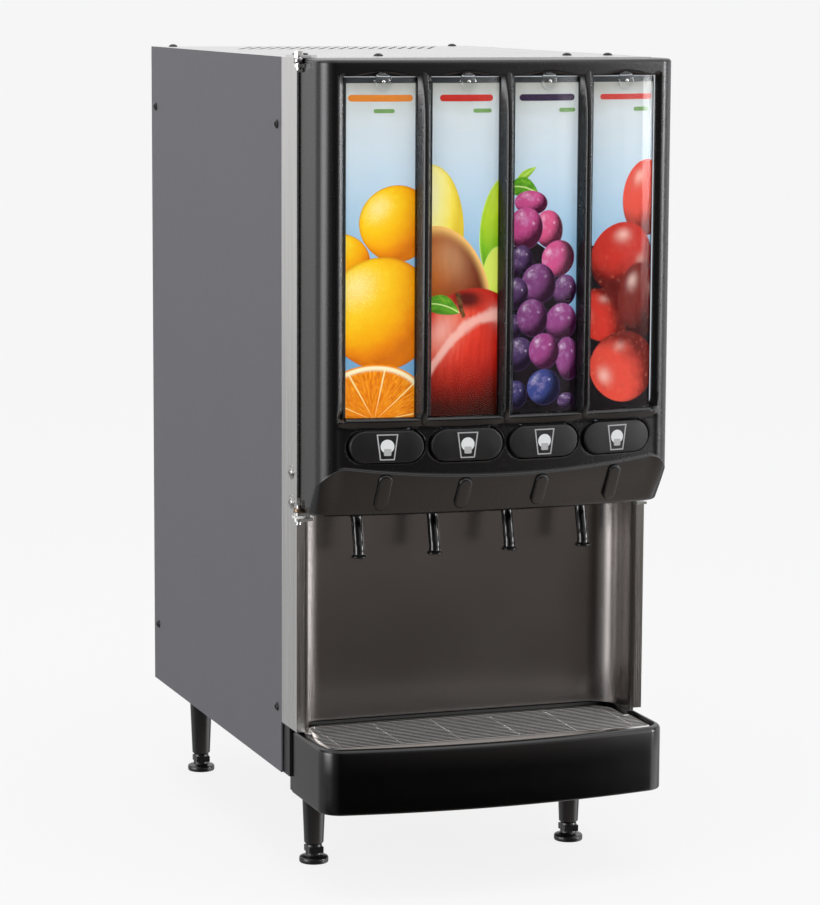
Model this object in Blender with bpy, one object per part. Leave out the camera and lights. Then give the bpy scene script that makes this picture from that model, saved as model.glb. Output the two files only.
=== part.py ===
"""Countertop refrigerated dispenser with four flavours.

Every length below is in millimetres and is turned into metres when a mesh is
made.  In the cabinet's own frame X = 0 is the middle of the cabinet, Y = 0 is
the front plane of the stainless front frame (the door is at negative Y) and
Z = 0 is the worktop.  The empty "cabinet_frame" carries all pieces and moves
that frame so that the world origin is under the middle of the whole object.

Boxes are given as (x low, x high, y low, y high, z low, z high).
"""
import math

import bmesh
import bpy
import numpy as np
from mathutils import Matrix, Vector

# ------------------------------------------------------------ driving sizes
TO_METRES = 0.001
SHEET = 1.2                       # thickness of the folded sheet
PANEL = 1.5                       # thickness of the side and rear panels

CABINET_HALF = 191.4              # half width over the side panels
CABINET_BACK = 552.8
CABINET_BOTTOM = 108.0            # underside of the base pan
CABINET_TOP = 846.0
SIDE_FRONT = 52.2                 # front edge of the side panels
FRAME_BOTTOM = 161.5              # lower end of the stainless jambs

DOOR_HALF = 189.0
DOOR_REAR = -3.0                  # rear plane of the door
DOOR_FACE = -89.0                 # crown of the bowed door face
BOW_RADIUS = 900.0                # plan radius of the door and tray faces
DOOR_TOP = 846.0
DOOR_WALL = 3.0

WINDOW_PITCH = 86.0
FLAVOUR_PITCH = 82.3              # buttons and nozzles
WINDOWS = [(i - 1.5) * WINDOW_PITCH for i in range(4)]
FLAVOURS = [(i - 1.5) * FLAVOUR_PITCH for i in range(4)]
BUTTON_Z = 464.5

HINGE_X, HINGE_Y = -191.5, -7.0   # axis of the door hinge
KNUCKLE_RADIUS = 5.2              # round ends of the hinge plates
PIN_RADIUS = 2.6

TRAY_FACE = -95.0                 # crown of the drip tray
PLUG_BACK = 575.0                 # rearmost point, the plug of the power cord

# ------------------------------------------------- scene and carrying empty
for old in list(bpy.data.objects):
    bpy.data.objects.remove(old, do_unlink=True)

SCENE = bpy.context.scene
SCENE.unit_settings.scale_length = 1.0

# the hinge knuckle stands proud on the left, so the middle is off the cabinet's
middle_x = 0.5 * (HINGE_X - KNUCKLE_RADIUS + CABINET_HALF)
middle_y = 0.5 * (PLUG_BACK + TRAY_FACE)
CABINET = bpy.data.objects.new("cabinet_frame", None)
CABINET.location = (-middle_x * TO_METRES, -middle_y * TO_METRES, 0.0)
SCENE.collection.objects.link(CABINET)


# ---------------------------------------------------------------- materials
def material(name, colour, rough, metal=0.0, alpha=1.0):
    found = bpy.data.materials.get(name)
    if found:
        return found
    made = bpy.data.materials.new(name)
    made.use_nodes = True
    inputs = made.node_tree.nodes["Principled BSDF"].inputs
    inputs["Base Color"].default_value = (*colour, 1.0)
    inputs["Roughness"].default_value = rough
    inputs["Metallic"].default_value = metal
    inputs["Alpha"].default_value = alpha
    return made


GREY = material("grey_paint", colour=(0.18, 0.18, 0.19), rough=0.45, metal=0.3)
STEEL = material("brushed_stainless", colour=(0.62, 0.60, 0.57), rough=0.28, metal=1.0)
ZINC = material("zinc_plate", colour=(0.66, 0.67, 0.68), rough=0.4, metal=1.0)
BLACK = material("black_plastic", colour=(0.012, 0.012, 0.014), rough=0.3)
GLOSS = material("gloss_black", colour=(0.008, 0.008, 0.009), rough=0.08)
SATIN = material("textured_black", colour=(0.02, 0.02, 0.021), rough=0.6)
CLEAR = material("clear_plastic", colour=(0.9, 0.95, 1.0), rough=0.05, alpha=0.35)
WHITE = material("white_plastic", colour=(0.8, 0.8, 0.78), rough=0.4)
RUBBER = material("grey_rubber", colour=(0.10, 0.10, 0.10), rough=0.7)
COPPER = material("copper", colour=(0.72, 0.38, 0.22), rough=0.3, metal=1.0)
ENAMEL = material("black_enamel", colour=(0.015, 0.015, 0.016), rough=0.35)
ALUMINIUM = material("aluminium", colour=(0.75, 0.76, 0.77), rough=0.35, metal=1.0)
BRASS = material("brass", colour=(0.70, 0.55, 0.26), rough=0.3, metal=1.0)
BOARD = material("circuit_board", colour=(0.03, 0.18, 0.08), rough=0.5)


# ------------------------------------------------------------------- shapes
# Each add_ function adds a closed body to a bmesh, in millimetres.
def add_box(body, x0, x1, y0, y1, z0, z1):
    made = bmesh.ops.create_cube(body, size=1.0)["verts"]
    for vert in made:
        x, y, z = vert.co
        vert.co = (x0 if x < 0 else x1, y0 if y < 0 else y1, z0 if z < 0 else z1)
    return made


def add_turned_box(body, box, turns, centre):
    """A box about the origin, turned by each (degrees, axis), then moved to centre."""
    made = add_box(body, *box)
    for degrees, axis in turns:
        turn = Matrix.Rotation(math.radians(degrees), 3, axis)
        bmesh.ops.rotate(body, verts=made, cent=(0, 0, 0), matrix=turn)
    bmesh.ops.translate(body, verts=made, vec=centre)


def add_prism(body, points, low, high, axis="z"):
    """A polygon extruded along axis: (x, y) points for z, (x, z) points for y."""
    def place(point, height):
        if axis == "z":
            return (point[0], point[1], height)
        return (point[0], height, point[1])

    add_loft(body, [[place(point, height) for point in points] for height in (low, high)])


def add_loft(body, sections):
    """Closed rings of equal length joined in order, with both ends capped."""
    rings = [[body.verts.new(point) for point in ring] for ring in sections]
    for low, high in zip(rings, rings[1:]):
        for i in range(len(low)):
            j = (i + 1) % len(low)
            body.faces.new((low[i], low[j], high[j], high[i]))
    body.faces.new(rings[0][::-1])
    body.faces.new(rings[-1])


def add_lathe(body, profile, centre=(0, 0, 0), axis="z", segments=16):
    """Turns (radius, height) points, from axis to axis, about a line through centre."""
    def place(radius, height, angle):
        across, along = radius * math.cos(angle), radius * math.sin(angle)
        offset = (across, along, height) if axis == "z" else (across, height, along)
        return [c + o for c, o in zip(centre, offset)]

    rings = []
    for radius, height in profile:
        count = segments if radius else 1
        rings.append([body.verts.new(place(radius, height, 2 * math.pi * k / segments))
                      for k in range(count)])
    for low, high in zip(rings, rings[1:]):
        for i in range(segments):
            j = (i + 1) % segments
            if len(low) == 1:
                body.faces.new((low[0], high[i], high[j]))
            elif len(high) == 1:
                body.faces.new((low[i], high[0], low[j]))
            else:
                body.faces.new((low[i], high[i], high[j], low[j]))


def add_disc(body, centre, radius, low, high, axis="z", segments=16):
    profile = [(0, low), (radius, low), (radius, high), (0, high)]
    add_lathe(body, profile, centre, axis, segments)


def add_tube(body, path, radii, segments=8, bore=None):
    """A round bar swept along points, with one radius or one per point.  With a
    bore it is an open pipe."""
    path = [Vector(point) for point in path]
    if not isinstance(radii, (list, tuple)):
        radii = [radii] * len(path)
    last = len(path) - 1
    tangents = [(path[min(i + 1, last)] - path[max(i - 1, 0)]).normalized()
                for i in range(len(path))]
    side = tangents[0].orthogonal().normalized()
    frames = []
    for tangent in tangents:
        side = (side - tangent * side.dot(tangent)).normalized()
        frames.append((side.copy(), tangent.cross(side)))

    def ring(i, radius):
        across, along = frames[i]
        angles = [2 * math.pi * k / segments for k in range(segments)]
        return [body.verts.new(path[i] + radius * (across * math.cos(angle)
                                                   + along * math.sin(angle)))
                for angle in angles]

    rings = [ring(i, radii[i]) for i in range(len(path))]
    if bore is None:
        body.faces.new(rings[0][::-1])
        body.faces.new(rings[-1])
    else:
        rings += [ring(i, bore) for i in range(len(path))][::-1]
        rings.append(rings[0])
    for low, high in zip(rings, rings[1:]):
        for i in range(segments):
            j = (i + 1) % segments
            body.faces.new((low[i], low[j], high[j], high[i]))


def add_each(body, shape, entries, **options):
    """Adds one shape for each entry of arguments."""
    for entry in entries:
        shape(body, *entry, **options)


# ----------------------------------------------------------- piece making
def make(name, mat, shape, *sizes, origin=(0, 0, 0), smooth=None, **options):
    """Builds a shape in the cabinet's frame as an object with its origin at
    `origin`.  Edges sharper than `smooth` degrees stay sharp."""
    body = bmesh.new()
    shape(body, *sizes, **options)
    bmesh.ops.translate(body, verts=body.verts, vec=-Vector(origin))
    bmesh.ops.scale(body, verts=body.verts, vec=(TO_METRES,) * 3)
    bmesh.ops.recalc_face_normals(body, faces=body.faces)
    mesh = bpy.data.meshes.new(name)
    body.to_mesh(mesh)
    body.free()
    mesh.materials.append(mat)
    obj = bpy.data.objects.new(name, mesh)
    obj.location = Vector(origin) * TO_METRES
    obj.parent = CABINET
    SCENE.collection.objects.link(obj)
    if smooth:
        mesh.shade_smooth()
        mesh.set_sharp_from_angle(angle=math.radians(smooth))
    return obj


def boolean(obj, other, operation):
    """Applies an exact Boolean and drops the operand."""
    mod = obj.modifiers.new("boolean", "BOOLEAN")
    mod.operation = operation
    mod.solver = "EXACT"
    mod.object = other
    bpy.context.view_layer.update()
    graph = bpy.context.evaluated_depsgraph_get()
    made = bpy.data.meshes.new_from_object(obj.evaluated_get(graph))
    obj.modifiers.clear()
    obj.data = made
    bpy.data.objects.remove(other, do_unlink=True)


def join(obj, shape, *sizes, **options):
    boolean(obj, make("part", BLACK, shape, *sizes, **options), "UNION")


def cut(obj, shape, *sizes, **options):
    boolean(obj, make("cutter", BLACK, shape, *sizes, **options), "DIFFERENCE")


def boxes(name, mat, first, *others):
    """A piece made of boxes that overlap, joined into one body."""
    obj = make(name, mat, add_box, *first)
    for box in others:
        join(obj, add_box, *box)
    return obj


# ----------------------------------------------------------------- outlines
def pair(inner, outer, *rest):
    """The same box on the left and on the right of the middle."""
    return [(-outer, -inner, *rest), (inner, outer, *rest)]


def arc(centre_x, centre_y, radius, start, end, steps):
    angles = [math.radians(start + (end - start) * k / steps) for k in range(steps + 1)]
    return [(centre_x + radius * math.cos(angle), centre_y + radius * math.sin(angle))
            for angle in angles]


def obround(centre_x, centre_z, half, radius):
    """Outline, in X and Z, of a bar with rounded sides."""
    return (arc(centre_x + half - radius, centre_z, radius, -90, 90, 6)
            + arc(centre_x - half + radius, centre_z, radius, 90, 270, 6))


def bow(x, crown):
    """Y of a bowed face at x."""
    return crown + x * x / (2 * BOW_RADIUS)


def bowed_plan(half, corner, crown, rear, reach, sweep, steps):
    """Plan outline with a straight rear and a bowed front.  The front corners
    turn through `sweep` degrees and meet the bow `reach` radii from the side."""
    turn = half - corner
    centre_y = bow(half - reach * corner, crown) + corner
    points = [(-half, rear)] + arc(-turn, centre_y, corner, 180, 180 + sweep, steps)
    for k in range(1, 8):
        x = -turn + 2 * turn * k / 8
        points.append((x, bow(x, crown)))
    return points + arc(turn, centre_y, corner, 360 - sweep, 360, steps) + [(half, rear)]


# =========================================================== cabinet casing
PORT_X, PORT_Z = 150.0, 352.0     # cord on the right, water inlet on the left

# side panels: sheet with a rear return flange
FLANGE_IN = 178.0
side_in = CABINET_HALF - PANEL
side_plan = [(CABINET_HALF, SIDE_FRONT), (CABINET_HALF, CABINET_BACK),
             (FLANGE_IN, CABINET_BACK), (FLANGE_IN, CABINET_BACK - PANEL),
             (side_in, CABINET_BACK - PANEL), (side_in, SIDE_FRONT)]
for sign, side_name in ((-1, "left"), (1, "right")):
    make(f"{side_name}_side_panel", GREY, add_prism, [(sign * x, y) for x, y in side_plan],
         CABINET_BOTTOM, CABINET_TOP)

# base pan: floor, a nose on each side of the drip tray, and four walls
PAN_HALF, PAN_FRONT, PAN_BACK, PAN_TOP, PAN_WALL = 189, 60, 550, 161, 3
pan_inside = (CABINET_BOTTOM + 1, PAN_TOP)
boxes("base_pan", BLACK,
      (-PAN_HALF, PAN_HALF, PAN_FRONT, PAN_BACK, CABINET_BOTTOM, CABINET_BOTTOM + PAN_WALL),
      *pair(178.5, PAN_HALF, 31.4, 62, CABINET_BOTTOM, PAN_TOP),
      *pair(PAN_HALF - PAN_WALL, PAN_HALF, 50, PAN_BACK, *pan_inside),
      (1 - PAN_HALF, PAN_HALF - 1, PAN_FRONT, PAN_FRONT + PAN_WALL, *pan_inside),
      (1 - PAN_HALF, PAN_HALF - 1, PAN_BACK - PAN_WALL, PAN_BACK, *pan_inside))

# rear panel with two columns of slots
VENT_COLUMNS, VENT_HALF = (-100.0, 75.0), 62
VENT_Z, VENT_PITCH, VENT_HEIGHT, VENT_ROWS = 185.0, 17.0, 7, 9


def add_rear_openings(body):
    for column in VENT_COLUMNS:
        for row in range(VENT_ROWS):
            z = VENT_Z + VENT_PITCH * row
            add_box(body, column - VENT_HALF, column + VENT_HALF, 540, 560, z, z + VENT_HEIGHT)
    add_disc(body, (PORT_X, 540.0, PORT_Z), 9.0, 0, 20, "y", 12)       # cord bushing
    add_disc(body, (-PORT_X, 540.0, PORT_Z), 12.0, 0, 20, "y", 12)     # water inlet


rear_panel = make("rear_panel", GREY, add_box, -188.5, 188.5, 549.5, 549.5 + PANEL, 161.6, 843.5)
cut(rear_panel, add_rear_openings)

# top panel, with diagonal slots over the compartment behind the juice chamber
TOP_HALF = 189.5
TOP_FRONT = SIDE_FRONT + 0.2
SLOT_X, SLOT_PITCH, SLOT_WIDTH, SLOT_SLANT = -137.0, 11.7, 4.6, 52
SLOT_FRONT, SLOT_BACK = 392, 512
top_panel = boxes("top_panel", ZINC,
                  (-TOP_HALF, TOP_HALF, TOP_FRONT, CABINET_BACK - 1.9,
                   CABINET_TOP - SHEET, CABINET_TOP),
                  *pair(TOP_HALF - SHEET, TOP_HALF, TOP_FRONT, 548.5, 830, CABINET_TOP - 0.5))
slots = []
for k in range(20):
    x = SLOT_X + SLOT_PITCH * k
    slots.append(([(x, SLOT_FRONT), (x + SLOT_WIDTH, SLOT_FRONT),
                   (x + SLOT_WIDTH + SLOT_SLANT, SLOT_BACK), (x + SLOT_SLANT, SLOT_BACK)],
                  840, 850))
cut(top_panel, add_each, add_prism, slots)

# stainless front frame: two jambs and a header, folded from sheet
JAMB_OUT, JAMB_IN = 191.2, 182.6
FRAME_DEPTH = 51.8
HEADER_HALF = 190.8
boxes("front_frame", STEEL,
      *pair(JAMB_OUT - SHEET, JAMB_OUT, 0, FRAME_DEPTH, FRAME_BOTTOM, CABINET_TOP),
      *pair(JAMB_IN, 191.0, 0, SHEET, FRAME_BOTTOM, 845.5),
      *pair(JAMB_IN, JAMB_IN + SHEET, 0.5, 14, FRAME_BOTTOM, 845.2),
      (-HEADER_HALF, HEADER_HALF, 0, SHEET, 838.5, 845.8),
      (-HEADER_HALF, HEADER_HALF, 0, FRAME_DEPTH, CABINET_TOP - SHEET, CABINET_TOP))

# splash panel: one sheet bent to a U, with front lips
SPLASH_HALF, SPLASH_DEPTH, SPLASH_BEND, SPLASH_TOP = 178.4, 56.0, 30.0, 391.0
LIP_FRONT = 0.2
LIP_BACK = LIP_FRONT + SHEET
lip_out = SPLASH_HALF + 3.8
splash_out = SPLASH_HALF + SHEET
bend_x, bend_y = SPLASH_HALF - SPLASH_BEND, SPLASH_DEPTH - SPLASH_BEND
outline = [(-lip_out, LIP_FRONT), (-SPLASH_HALF, LIP_FRONT)]
outline += arc(-bend_x, bend_y, SPLASH_BEND, 180, 90, 8)
outline += arc(bend_x, bend_y, SPLASH_BEND, 90, 0, 8)
outline += [(SPLASH_HALF, LIP_FRONT), (lip_out, LIP_FRONT), (lip_out, LIP_BACK),
            (splash_out, LIP_BACK)]
outline += arc(bend_x, bend_y, SPLASH_BEND + SHEET, 0, 90, 8)
outline += arc(-bend_x, bend_y, SPLASH_BEND + SHEET, 90, 180, 8)
outline += [(-splash_out, LIP_BACK), (-lip_out, LIP_BACK)]
make("splash_panel", STEEL, add_prism, outline, FRAME_BOTTOM, SPLASH_TOP, smooth=30)

# =========================================================== cold section
# liner: a box open in front, with holes for the nozzles in its floor
LINER_HALF, LINER_FRONT, LINER_BACK, LINER_Z0, LINER_Z1, LINER_WALL = 182, 2, 262, 396, 836, 14
liner = make("cold_liner", WHITE, add_box,
             -LINER_HALF, LINER_HALF, LINER_FRONT, LINER_BACK, LINER_Z0, LINER_Z1)
cut(liner, add_box, LINER_WALL - LINER_HALF, LINER_HALF - LINER_WALL, -10,
    LINER_BACK - LINER_WALL, LINER_Z0 + LINER_WALL, LINER_Z1 - LINER_WALL)
cut(liner, add_each, add_disc, [((x, 19.2, 0), 7.6, 380, 420) for x in FLAVOURS])
for box in pair(LINER_HALF, 200, 0, 20, 380, 850):    # room for the jamb's folded edge
    cut(liner, add_box, *box)

# juice container: a blow-moulded box with a sloping floor and a neck
JAR_PLAN = [(-38, 30), (-32, 24), (32, 24), (38, 30),      # x from the middle, y
            (38, 234), (32, 240), (-32, 240), (-38, 234)]
JAR_FRONT, JAR_MIDDLE = 24, 132
JAR_FLOOR, JAR_FLOOR_SLOPE = 478, 0.10
JAR_SHOULDER, JAR_TOP = 800, 812
JAR_TOP_SCALE_X, JAR_TOP_SCALE_Y = 0.86, 0.95
NECK_Y = 44

# the nozzle's slanted tube turns vertical at the knee
NOZZLE_Y, NOZZLE_Z = 3.5, 338.5
KNEE_Y, KNEE_Z = 5.0, 352.0
NOZZLE_ANGLE = math.radians(14.7)
SLANT = Vector((0, -math.sin(NOZZLE_ANGLE), -math.cos(NOZZLE_ANGLE)))    # down the tube
PUMP_HALF, PUMP_Z0, PUMP_Z1 = 24, 412, 446


def juice_container(number, middle):
    floor = [(middle + x, y, JAR_FLOOR + JAR_FLOOR_SLOPE * (y - JAR_FRONT)) for x, y in JAR_PLAN]
    shoulder = [(middle + x, y, JAR_SHOULDER) for x, y in JAR_PLAN]
    top = [(middle + JAR_TOP_SCALE_X * x, JAR_MIDDLE + JAR_TOP_SCALE_Y * (y - JAR_MIDDLE),
            JAR_TOP) for x, y in JAR_PLAN]
    jar = make(f"juice_container_{number}", WHITE, add_loft, [floor, shoulder, top])
    join(jar, add_disc, (middle, NECK_Y, 0), 14, 460.4, 486)


def pump(number, middle, knee):
    """Pump head with a drive can behind, an inlet above and a spigot below."""
    head = make(f"pump_{number}", BLACK, add_box,
                middle - PUMP_HALF, middle + PUMP_HALF, 12, 66, PUMP_Z0, PUMP_Z1)
    join(head, add_disc, (middle, 60, (PUMP_Z0 + PUMP_Z1) / 2), 15, 0, 58, "y")
    join(head, add_disc, (middle, NECK_Y, 0), 11, 440, 460)
    tip = knee - SLANT * 28
    join(head, add_tube, [tip, tip - SLANT * 42], 3.5, 10)


def nozzle(number, middle, knee):
    """Slanted tube, vertical tip and flange."""
    start = knee - SLANT * 41
    path = [start, start + SLANT * 3, knee - SLANT * 3, (middle, NOZZLE_Y + 0.5, 347.5),
            (middle, NOZZLE_Y, 343), (middle, NOZZLE_Y, 341.2), (middle, NOZZLE_Y, 340.6),
            (middle, NOZZLE_Y, NOZZLE_Z)]
    radii = [6.6, 5.8, 5.8, 5.8, 6.2, 6.4, 8.2, 8.2]
    make(f"nozzle_{number}", GLOSS, add_tube, path, radii, segments=12, bore=4.0,
         origin=start, smooth=40)


for number, middle in enumerate(FLAVOURS, 1):
    knee = Vector((middle, KNEE_Y, KNEE_Z))
    juice_container(number, middle)
    pump(number, middle, knee)
    nozzle(number, middle, knee)

# ice bank behind the juice chamber: an open tank
TANK_HALF, TANK_FRONT, TANK_BACK, TANK_Z0, TANK_WALL = 160, 275, 540, 372, 12
COIL_Y = 407                      # common axis of the coils and the agitator
tank = make("water_bath_tank", WHITE, add_box,
            -TANK_HALF, TANK_HALF, TANK_FRONT, TANK_BACK, TANK_Z0, 800)
cut(tank, add_box, TANK_WALL - TANK_HALF, TANK_HALF - TANK_WALL, TANK_FRONT + TANK_WALL,
    TANK_BACK - TANK_WALL, TANK_Z0 + TANK_WALL, 900)


def coil(name, mat, radius, tube, low, high, turns=4, steps=12):
    """A rising coil that ends in a short upright tail."""
    count = turns * steps
    path = []
    for k in range(count + 1):
        angle = 2 * math.pi * k / steps
        path.append((radius * math.cos(angle), COIL_Y + radius * math.sin(angle),
                     low + (high - low) * k / count))
    path.append((path[-1][0], path[-1][1] + 3, high + 30))
    make(name, mat, add_tube, path, tube, segments=6, smooth=50)


coil("evaporator_coil", COPPER, radius=108, tube=4.5, low=410, high=740)
coil("water_coil", STEEL, radius=72, tube=4.0, low=405, high=700)

# agitator motor on a bridge across the tank
motor = make("agitator_motor", ALUMINIUM, add_box,
             -158, 158, COIL_Y - 15, COIL_Y + 15, 800.4, 804.4)
join(motor, add_disc, (0, COIL_Y, 0), 30, 804, 836, segments=20)
cut(motor, add_disc, (0, COIL_Y, 0), 4.5, 790, 812)

# agitator shaft and hub with three pitched blades
impeller_centre = (0, COIL_Y, 490)
SHAFT_PROFILE = [(0, 480), (9, 480), (9, 500), (3.2, 503), (3.2, 808), (0, 808)]  # radius, z
impeller = make("agitator_impeller", STEEL, add_lathe, SHAFT_PROFILE, (0, COIL_Y, 0),
                segments=12, origin=impeller_centre)
for k in range(3):
    join(impeller, add_turned_box, (5, 27, -1.2, 1.2, -8, 8),
         [(35, "X"), (120 * k, "Z")], impeller_centre)

# =========================================================== machine deck
DECK_Z = 111.4                    # machines stand just above the pan's floor
COMPRESSOR_X, COMPRESSOR_Y = -95, 410
COMPRESSOR_PROFILE = [            # radius, z
    (0, 124), (40, 125), (60, 134), (66, 150), (66, 200), (70, 202),
    (70, 208), (66, 210), (66, 262), (58, 282), (36, 294), (0, 297)]
compressor = make("compressor", ENAMEL, add_lathe, COMPRESSOR_PROFILE,
                  (COMPRESSOR_X, COMPRESSOR_Y, 0), segments=20, smooth=35)
join(compressor, add_box, COMPRESSOR_X - 80, COMPRESSOR_X + 80,
     COMPRESSOR_Y - 60, COMPRESSOR_Y + 60, DECK_Z, 128)

# condenser: upright sheet, two end plates, sixteen level fins and two feet
FAN_X, FAN_Z = 90, 220
FIN_Z, FIN_PITCH, FIN_THICK = 122, 13.2, 1.4
CORE = (485, 525)                 # front and back of the fins
condenser = boxes("condenser", ALUMINIUM,
                  (5, 175, 500, 503, 118, 322),
                  (5, 8, *CORE, 118, 322),
                  (172, 175, *CORE, 118, 322),
                  *[(6, 174, *CORE, FIN_Z + FIN_PITCH * k, FIN_Z + FIN_THICK + FIN_PITCH * k)
                    for k in range(16)])
for x in (FAN_X - 70, FAN_X + 70):
    join(condenser, add_disc, (x, 512, 0), 5, DECK_Z, 123, segments=8)

# fan shroud: plate with a round opening, three arms and a motor
shroud = make("fan_shroud", ENAMEL, add_box, FAN_X - 84, FAN_X + 84, 466, 470, DECK_Z, 320)
cut(shroud, add_disc, (FAN_X, 450, FAN_Z), 74, 0, 40, "y", 24)
for arm in range(3):
    join(shroud, add_turned_box, (15, 80, 466.5, 469.5, -4, 4),
         [(-90 - 120 * arm, "Y")], (FAN_X, 0, FAN_Z))
join(shroud, add_disc, (FAN_X, 452, FAN_Z), 20, 0, 22, "y", 16)

# fan: hub and five pitched blades
fan_centre = (FAN_X, 435, FAN_Z)
fan = make("fan_blade", BLACK, add_disc, (FAN_X, 427, FAN_Z), 16, 0, 17, "y", 16,
           origin=fan_centre)
for k in range(5):
    join(fan, add_turned_box, (12, 68, -0.9, 0.9, -14, 14),
         [(-68, "X"), (72 * k, "Y")], fan_centre)

# control box, open at the back
control_box = make("control_box", ZINC, add_box, -170, -30, 70, 130, 180, 360)
cut(control_box, add_box, -167, -33, 73, 140, 183, 357)
join(control_box, add_box, -150, -90, 72, 112, 200, 250)       # transformer
join(control_box, add_box, -150, -50, 72, 90, 270, 340)        # control board

# water inlet: flare fitting, solenoid body and a tail into the cabinet
INLET_PROFILE = [                 # radius, y
    (0, 500), (6, 500), (6, 518), (13, 518), (13, 546), (9, 546),
    (9, 556), (8, 558), (8, 566), (5, 566), (5, 553), (0, 553)]
inlet = make("water_inlet_valve", BRASS, add_lathe, INLET_PROFILE, (-PORT_X, 0, PORT_Z),
             axis="y", segments=14, smooth=35)
join(inlet, add_box, -PORT_X - 13, -PORT_X + 13, 520, 544, 330, 346)

# power cord: bushing, cord and plug lying against the back
CORD = [                          # x, y, z, radius
    (150, 530, 352, 7.5), (150, 545, 352, 7.5), (150, 554, 351, 5.5), (150, 558.5, 345, 4.2),
    (150, 560, 335, 3.6), (149, 560, 250, 3.6), (146, 560, 190, 3.6)]
PLUG = [(134, 196), (158, 196), (155, 160), (137, 160)]        # x, z
cord = make("power_cord", BLACK, add_tube, [station[:3] for station in CORD],
            [station[3] for station in CORD], segments=10, smooth=45)
join(cord, add_prism, PLUG, 552, PLUG_BACK, "y")
for x in (139.0, 151.4):          # two flat blades below the plug
    join(cord, add_box, x, x + 1.6, 560, 567, 142, 162)

# =========================================================== legs and feet
LEG_X = 145.0
LEG_Z = 21.0
LEG_TOP_RADIUS, LEG_BOTTOM_RADIUS, FOOT_RADIUS = 13.6, 10.3, 15.5
COLLAR_RADIUS = LEG_TOP_RADIUS + 1.2
LEG_TOP = CABINET_BOTTOM - 0.3
LEG_PROFILE = [                   # radius, z; the first points line the socket of the foot
    (0, 62), (5.8, 62), (5.8, LEG_Z), (LEG_BOTTOM_RADIUS - 0.8, LEG_Z),
    (LEG_BOTTOM_RADIUS, LEG_Z + 1), (LEG_TOP_RADIUS, 100), (COLLAR_RADIUS, 103),
    (COLLAR_RADIUS, LEG_TOP), (0, LEG_TOP)]
FOOT_PROFILE = [                  # radius, z; the last points are the stud in the leg
    (0, 0), (FOOT_RADIUS - 1.5, 0), (FOOT_RADIUS, 1.5), (FOOT_RADIUS, 5.5),
    (FOOT_RADIUS - 1.5, 7), (8.8, 7.6), (8.8, LEG_Z - 0.5), (5.2, LEG_Z - 0.5),
    (5.2, 58), (0, 58)]
for end, y in (("front", 86.0), ("rear", 519.0)):
    for side_name, x in (("left", -LEG_X), ("right", LEG_X)):
        make(f"leg_{end}_{side_name}", BLACK, add_lathe, LEG_PROFILE, (x, y, 0), smooth=35)
        make(f"foot_{end}_{side_name}", BLACK, add_lathe, FOOT_PROFILE, (x, y, 0),
             origin=(x, y, 0), smooth=35)

# =========================================================== drip tray
TRAY_HALF, TRAY_CORNER = 186.5, 24.0
TRAY_Z0, TRAY_Z1 = 91.0, 158.5


def tray_plan(inset, rear):
    """Plan outline of the tray, inset from the outer face."""
    return bowed_plan(TRAY_HALF - inset, TRAY_CORNER - inset, TRAY_FACE + inset, rear,
                      reach=0.9, sweep=82, steps=5)


def add_basin(body, inset, rear_half, rear, low, high, corner=0.0, step=-1.3):
    """It narrows behind step, where it passes between the jambs; corner rounds
    the two rear corners."""
    left, right = [(-rear_half, rear)], [(rear_half, rear)]
    if corner:
        left = arc(-rear_half + corner, rear - corner, corner, 90, 180, 4)
        right = arc(rear_half - corner, rear - corner, corner, 0, 90, 4)
    points = left + [(-rear_half, step)] + tray_plan(inset, step) + [(rear_half, step)] + right
    add_prism(body, points, low, high)


tray = make("drip_tray", BLACK, add_prism, tray_plan(0, 31.0), TRAY_Z0, TRAY_Z1,
            origin=(0, -30, TRAY_Z0), smooth=30)
join(tray, add_box, -177.5, 177.5, 20, 56, 107, TRAY_Z1)       # upper rear part
join(tray, add_box, -184, 184, 25, 45, TRAY_Z0, 107.4)         # lower rear part
cut(tray, add_basin, 6.0, 174.8, 51.0, 150.2, 170)             # seat of the grate
cut(tray, add_basin, 12.0, 168.0, 46.0, 113, 160)              # basin
cut(tray, add_prism, tray_plan(3.0, 28.0), 80, 109.5)          # hollow underside
for box in pair(60, 160, 20, 43, 80, 105):                     # rear pockets from below
    cut(tray, add_box, *box)

# grate: rim, bearers and wires, cut from one plate as rows of slots; it clears
# the sides and bends of the splash panel when lifted
GRATE_Z0, GRATE_Z1 = 150.6, 156.6
GRATE_BAYS = ((-167.5, -121.5), (-118.5, -1.5), (1.5, 118.5), (121.5, 167.5))   # x low, high
WIRE_PITCH, GRATE_SLOT = 9.4, 6.0
grate = make("drip_grate", STEEL, add_basin, 6.7, 174.1, 50.3, GRATE_Z0, GRATE_Z1, 24.3, -2.0,
             origin=(0, -20, GRATE_Z0))
slot_fronts = [-62.0 + WIRE_PITCH * k for k in range(11)]
cut(grate, add_each, add_box, [(low, high, y, y + GRATE_SLOT, 140, 170)
                               for y in slot_fronts for low, high in GRATE_BAYS])

# =========================================================== door
DOOR_CORNER = 12.0                # vertical corner radius
SKIRT = ((391.0, 25.0), (398.0, 20.0), (407.0, 15.0), (417.0, 9.6), (428.0, 4.8),
         (441.0, 1.3), (457.0, 0.0))          # height, set-back of the face
SKIRT_HEIGHTS, SKIRT_SETBACKS = zip(*SKIRT)
WINDOW_HALF, WINDOW_Z0, WINDOW_Z1 = 36.3, 486.0, 832.0
MULLION_RADIUS = 6.7
BUTTON_HALF, BUTTON_RADIUS, BUTTON_GAP = 37.0, 16.0, 0.7
DOOR_ORIGIN_Z = 618


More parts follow.
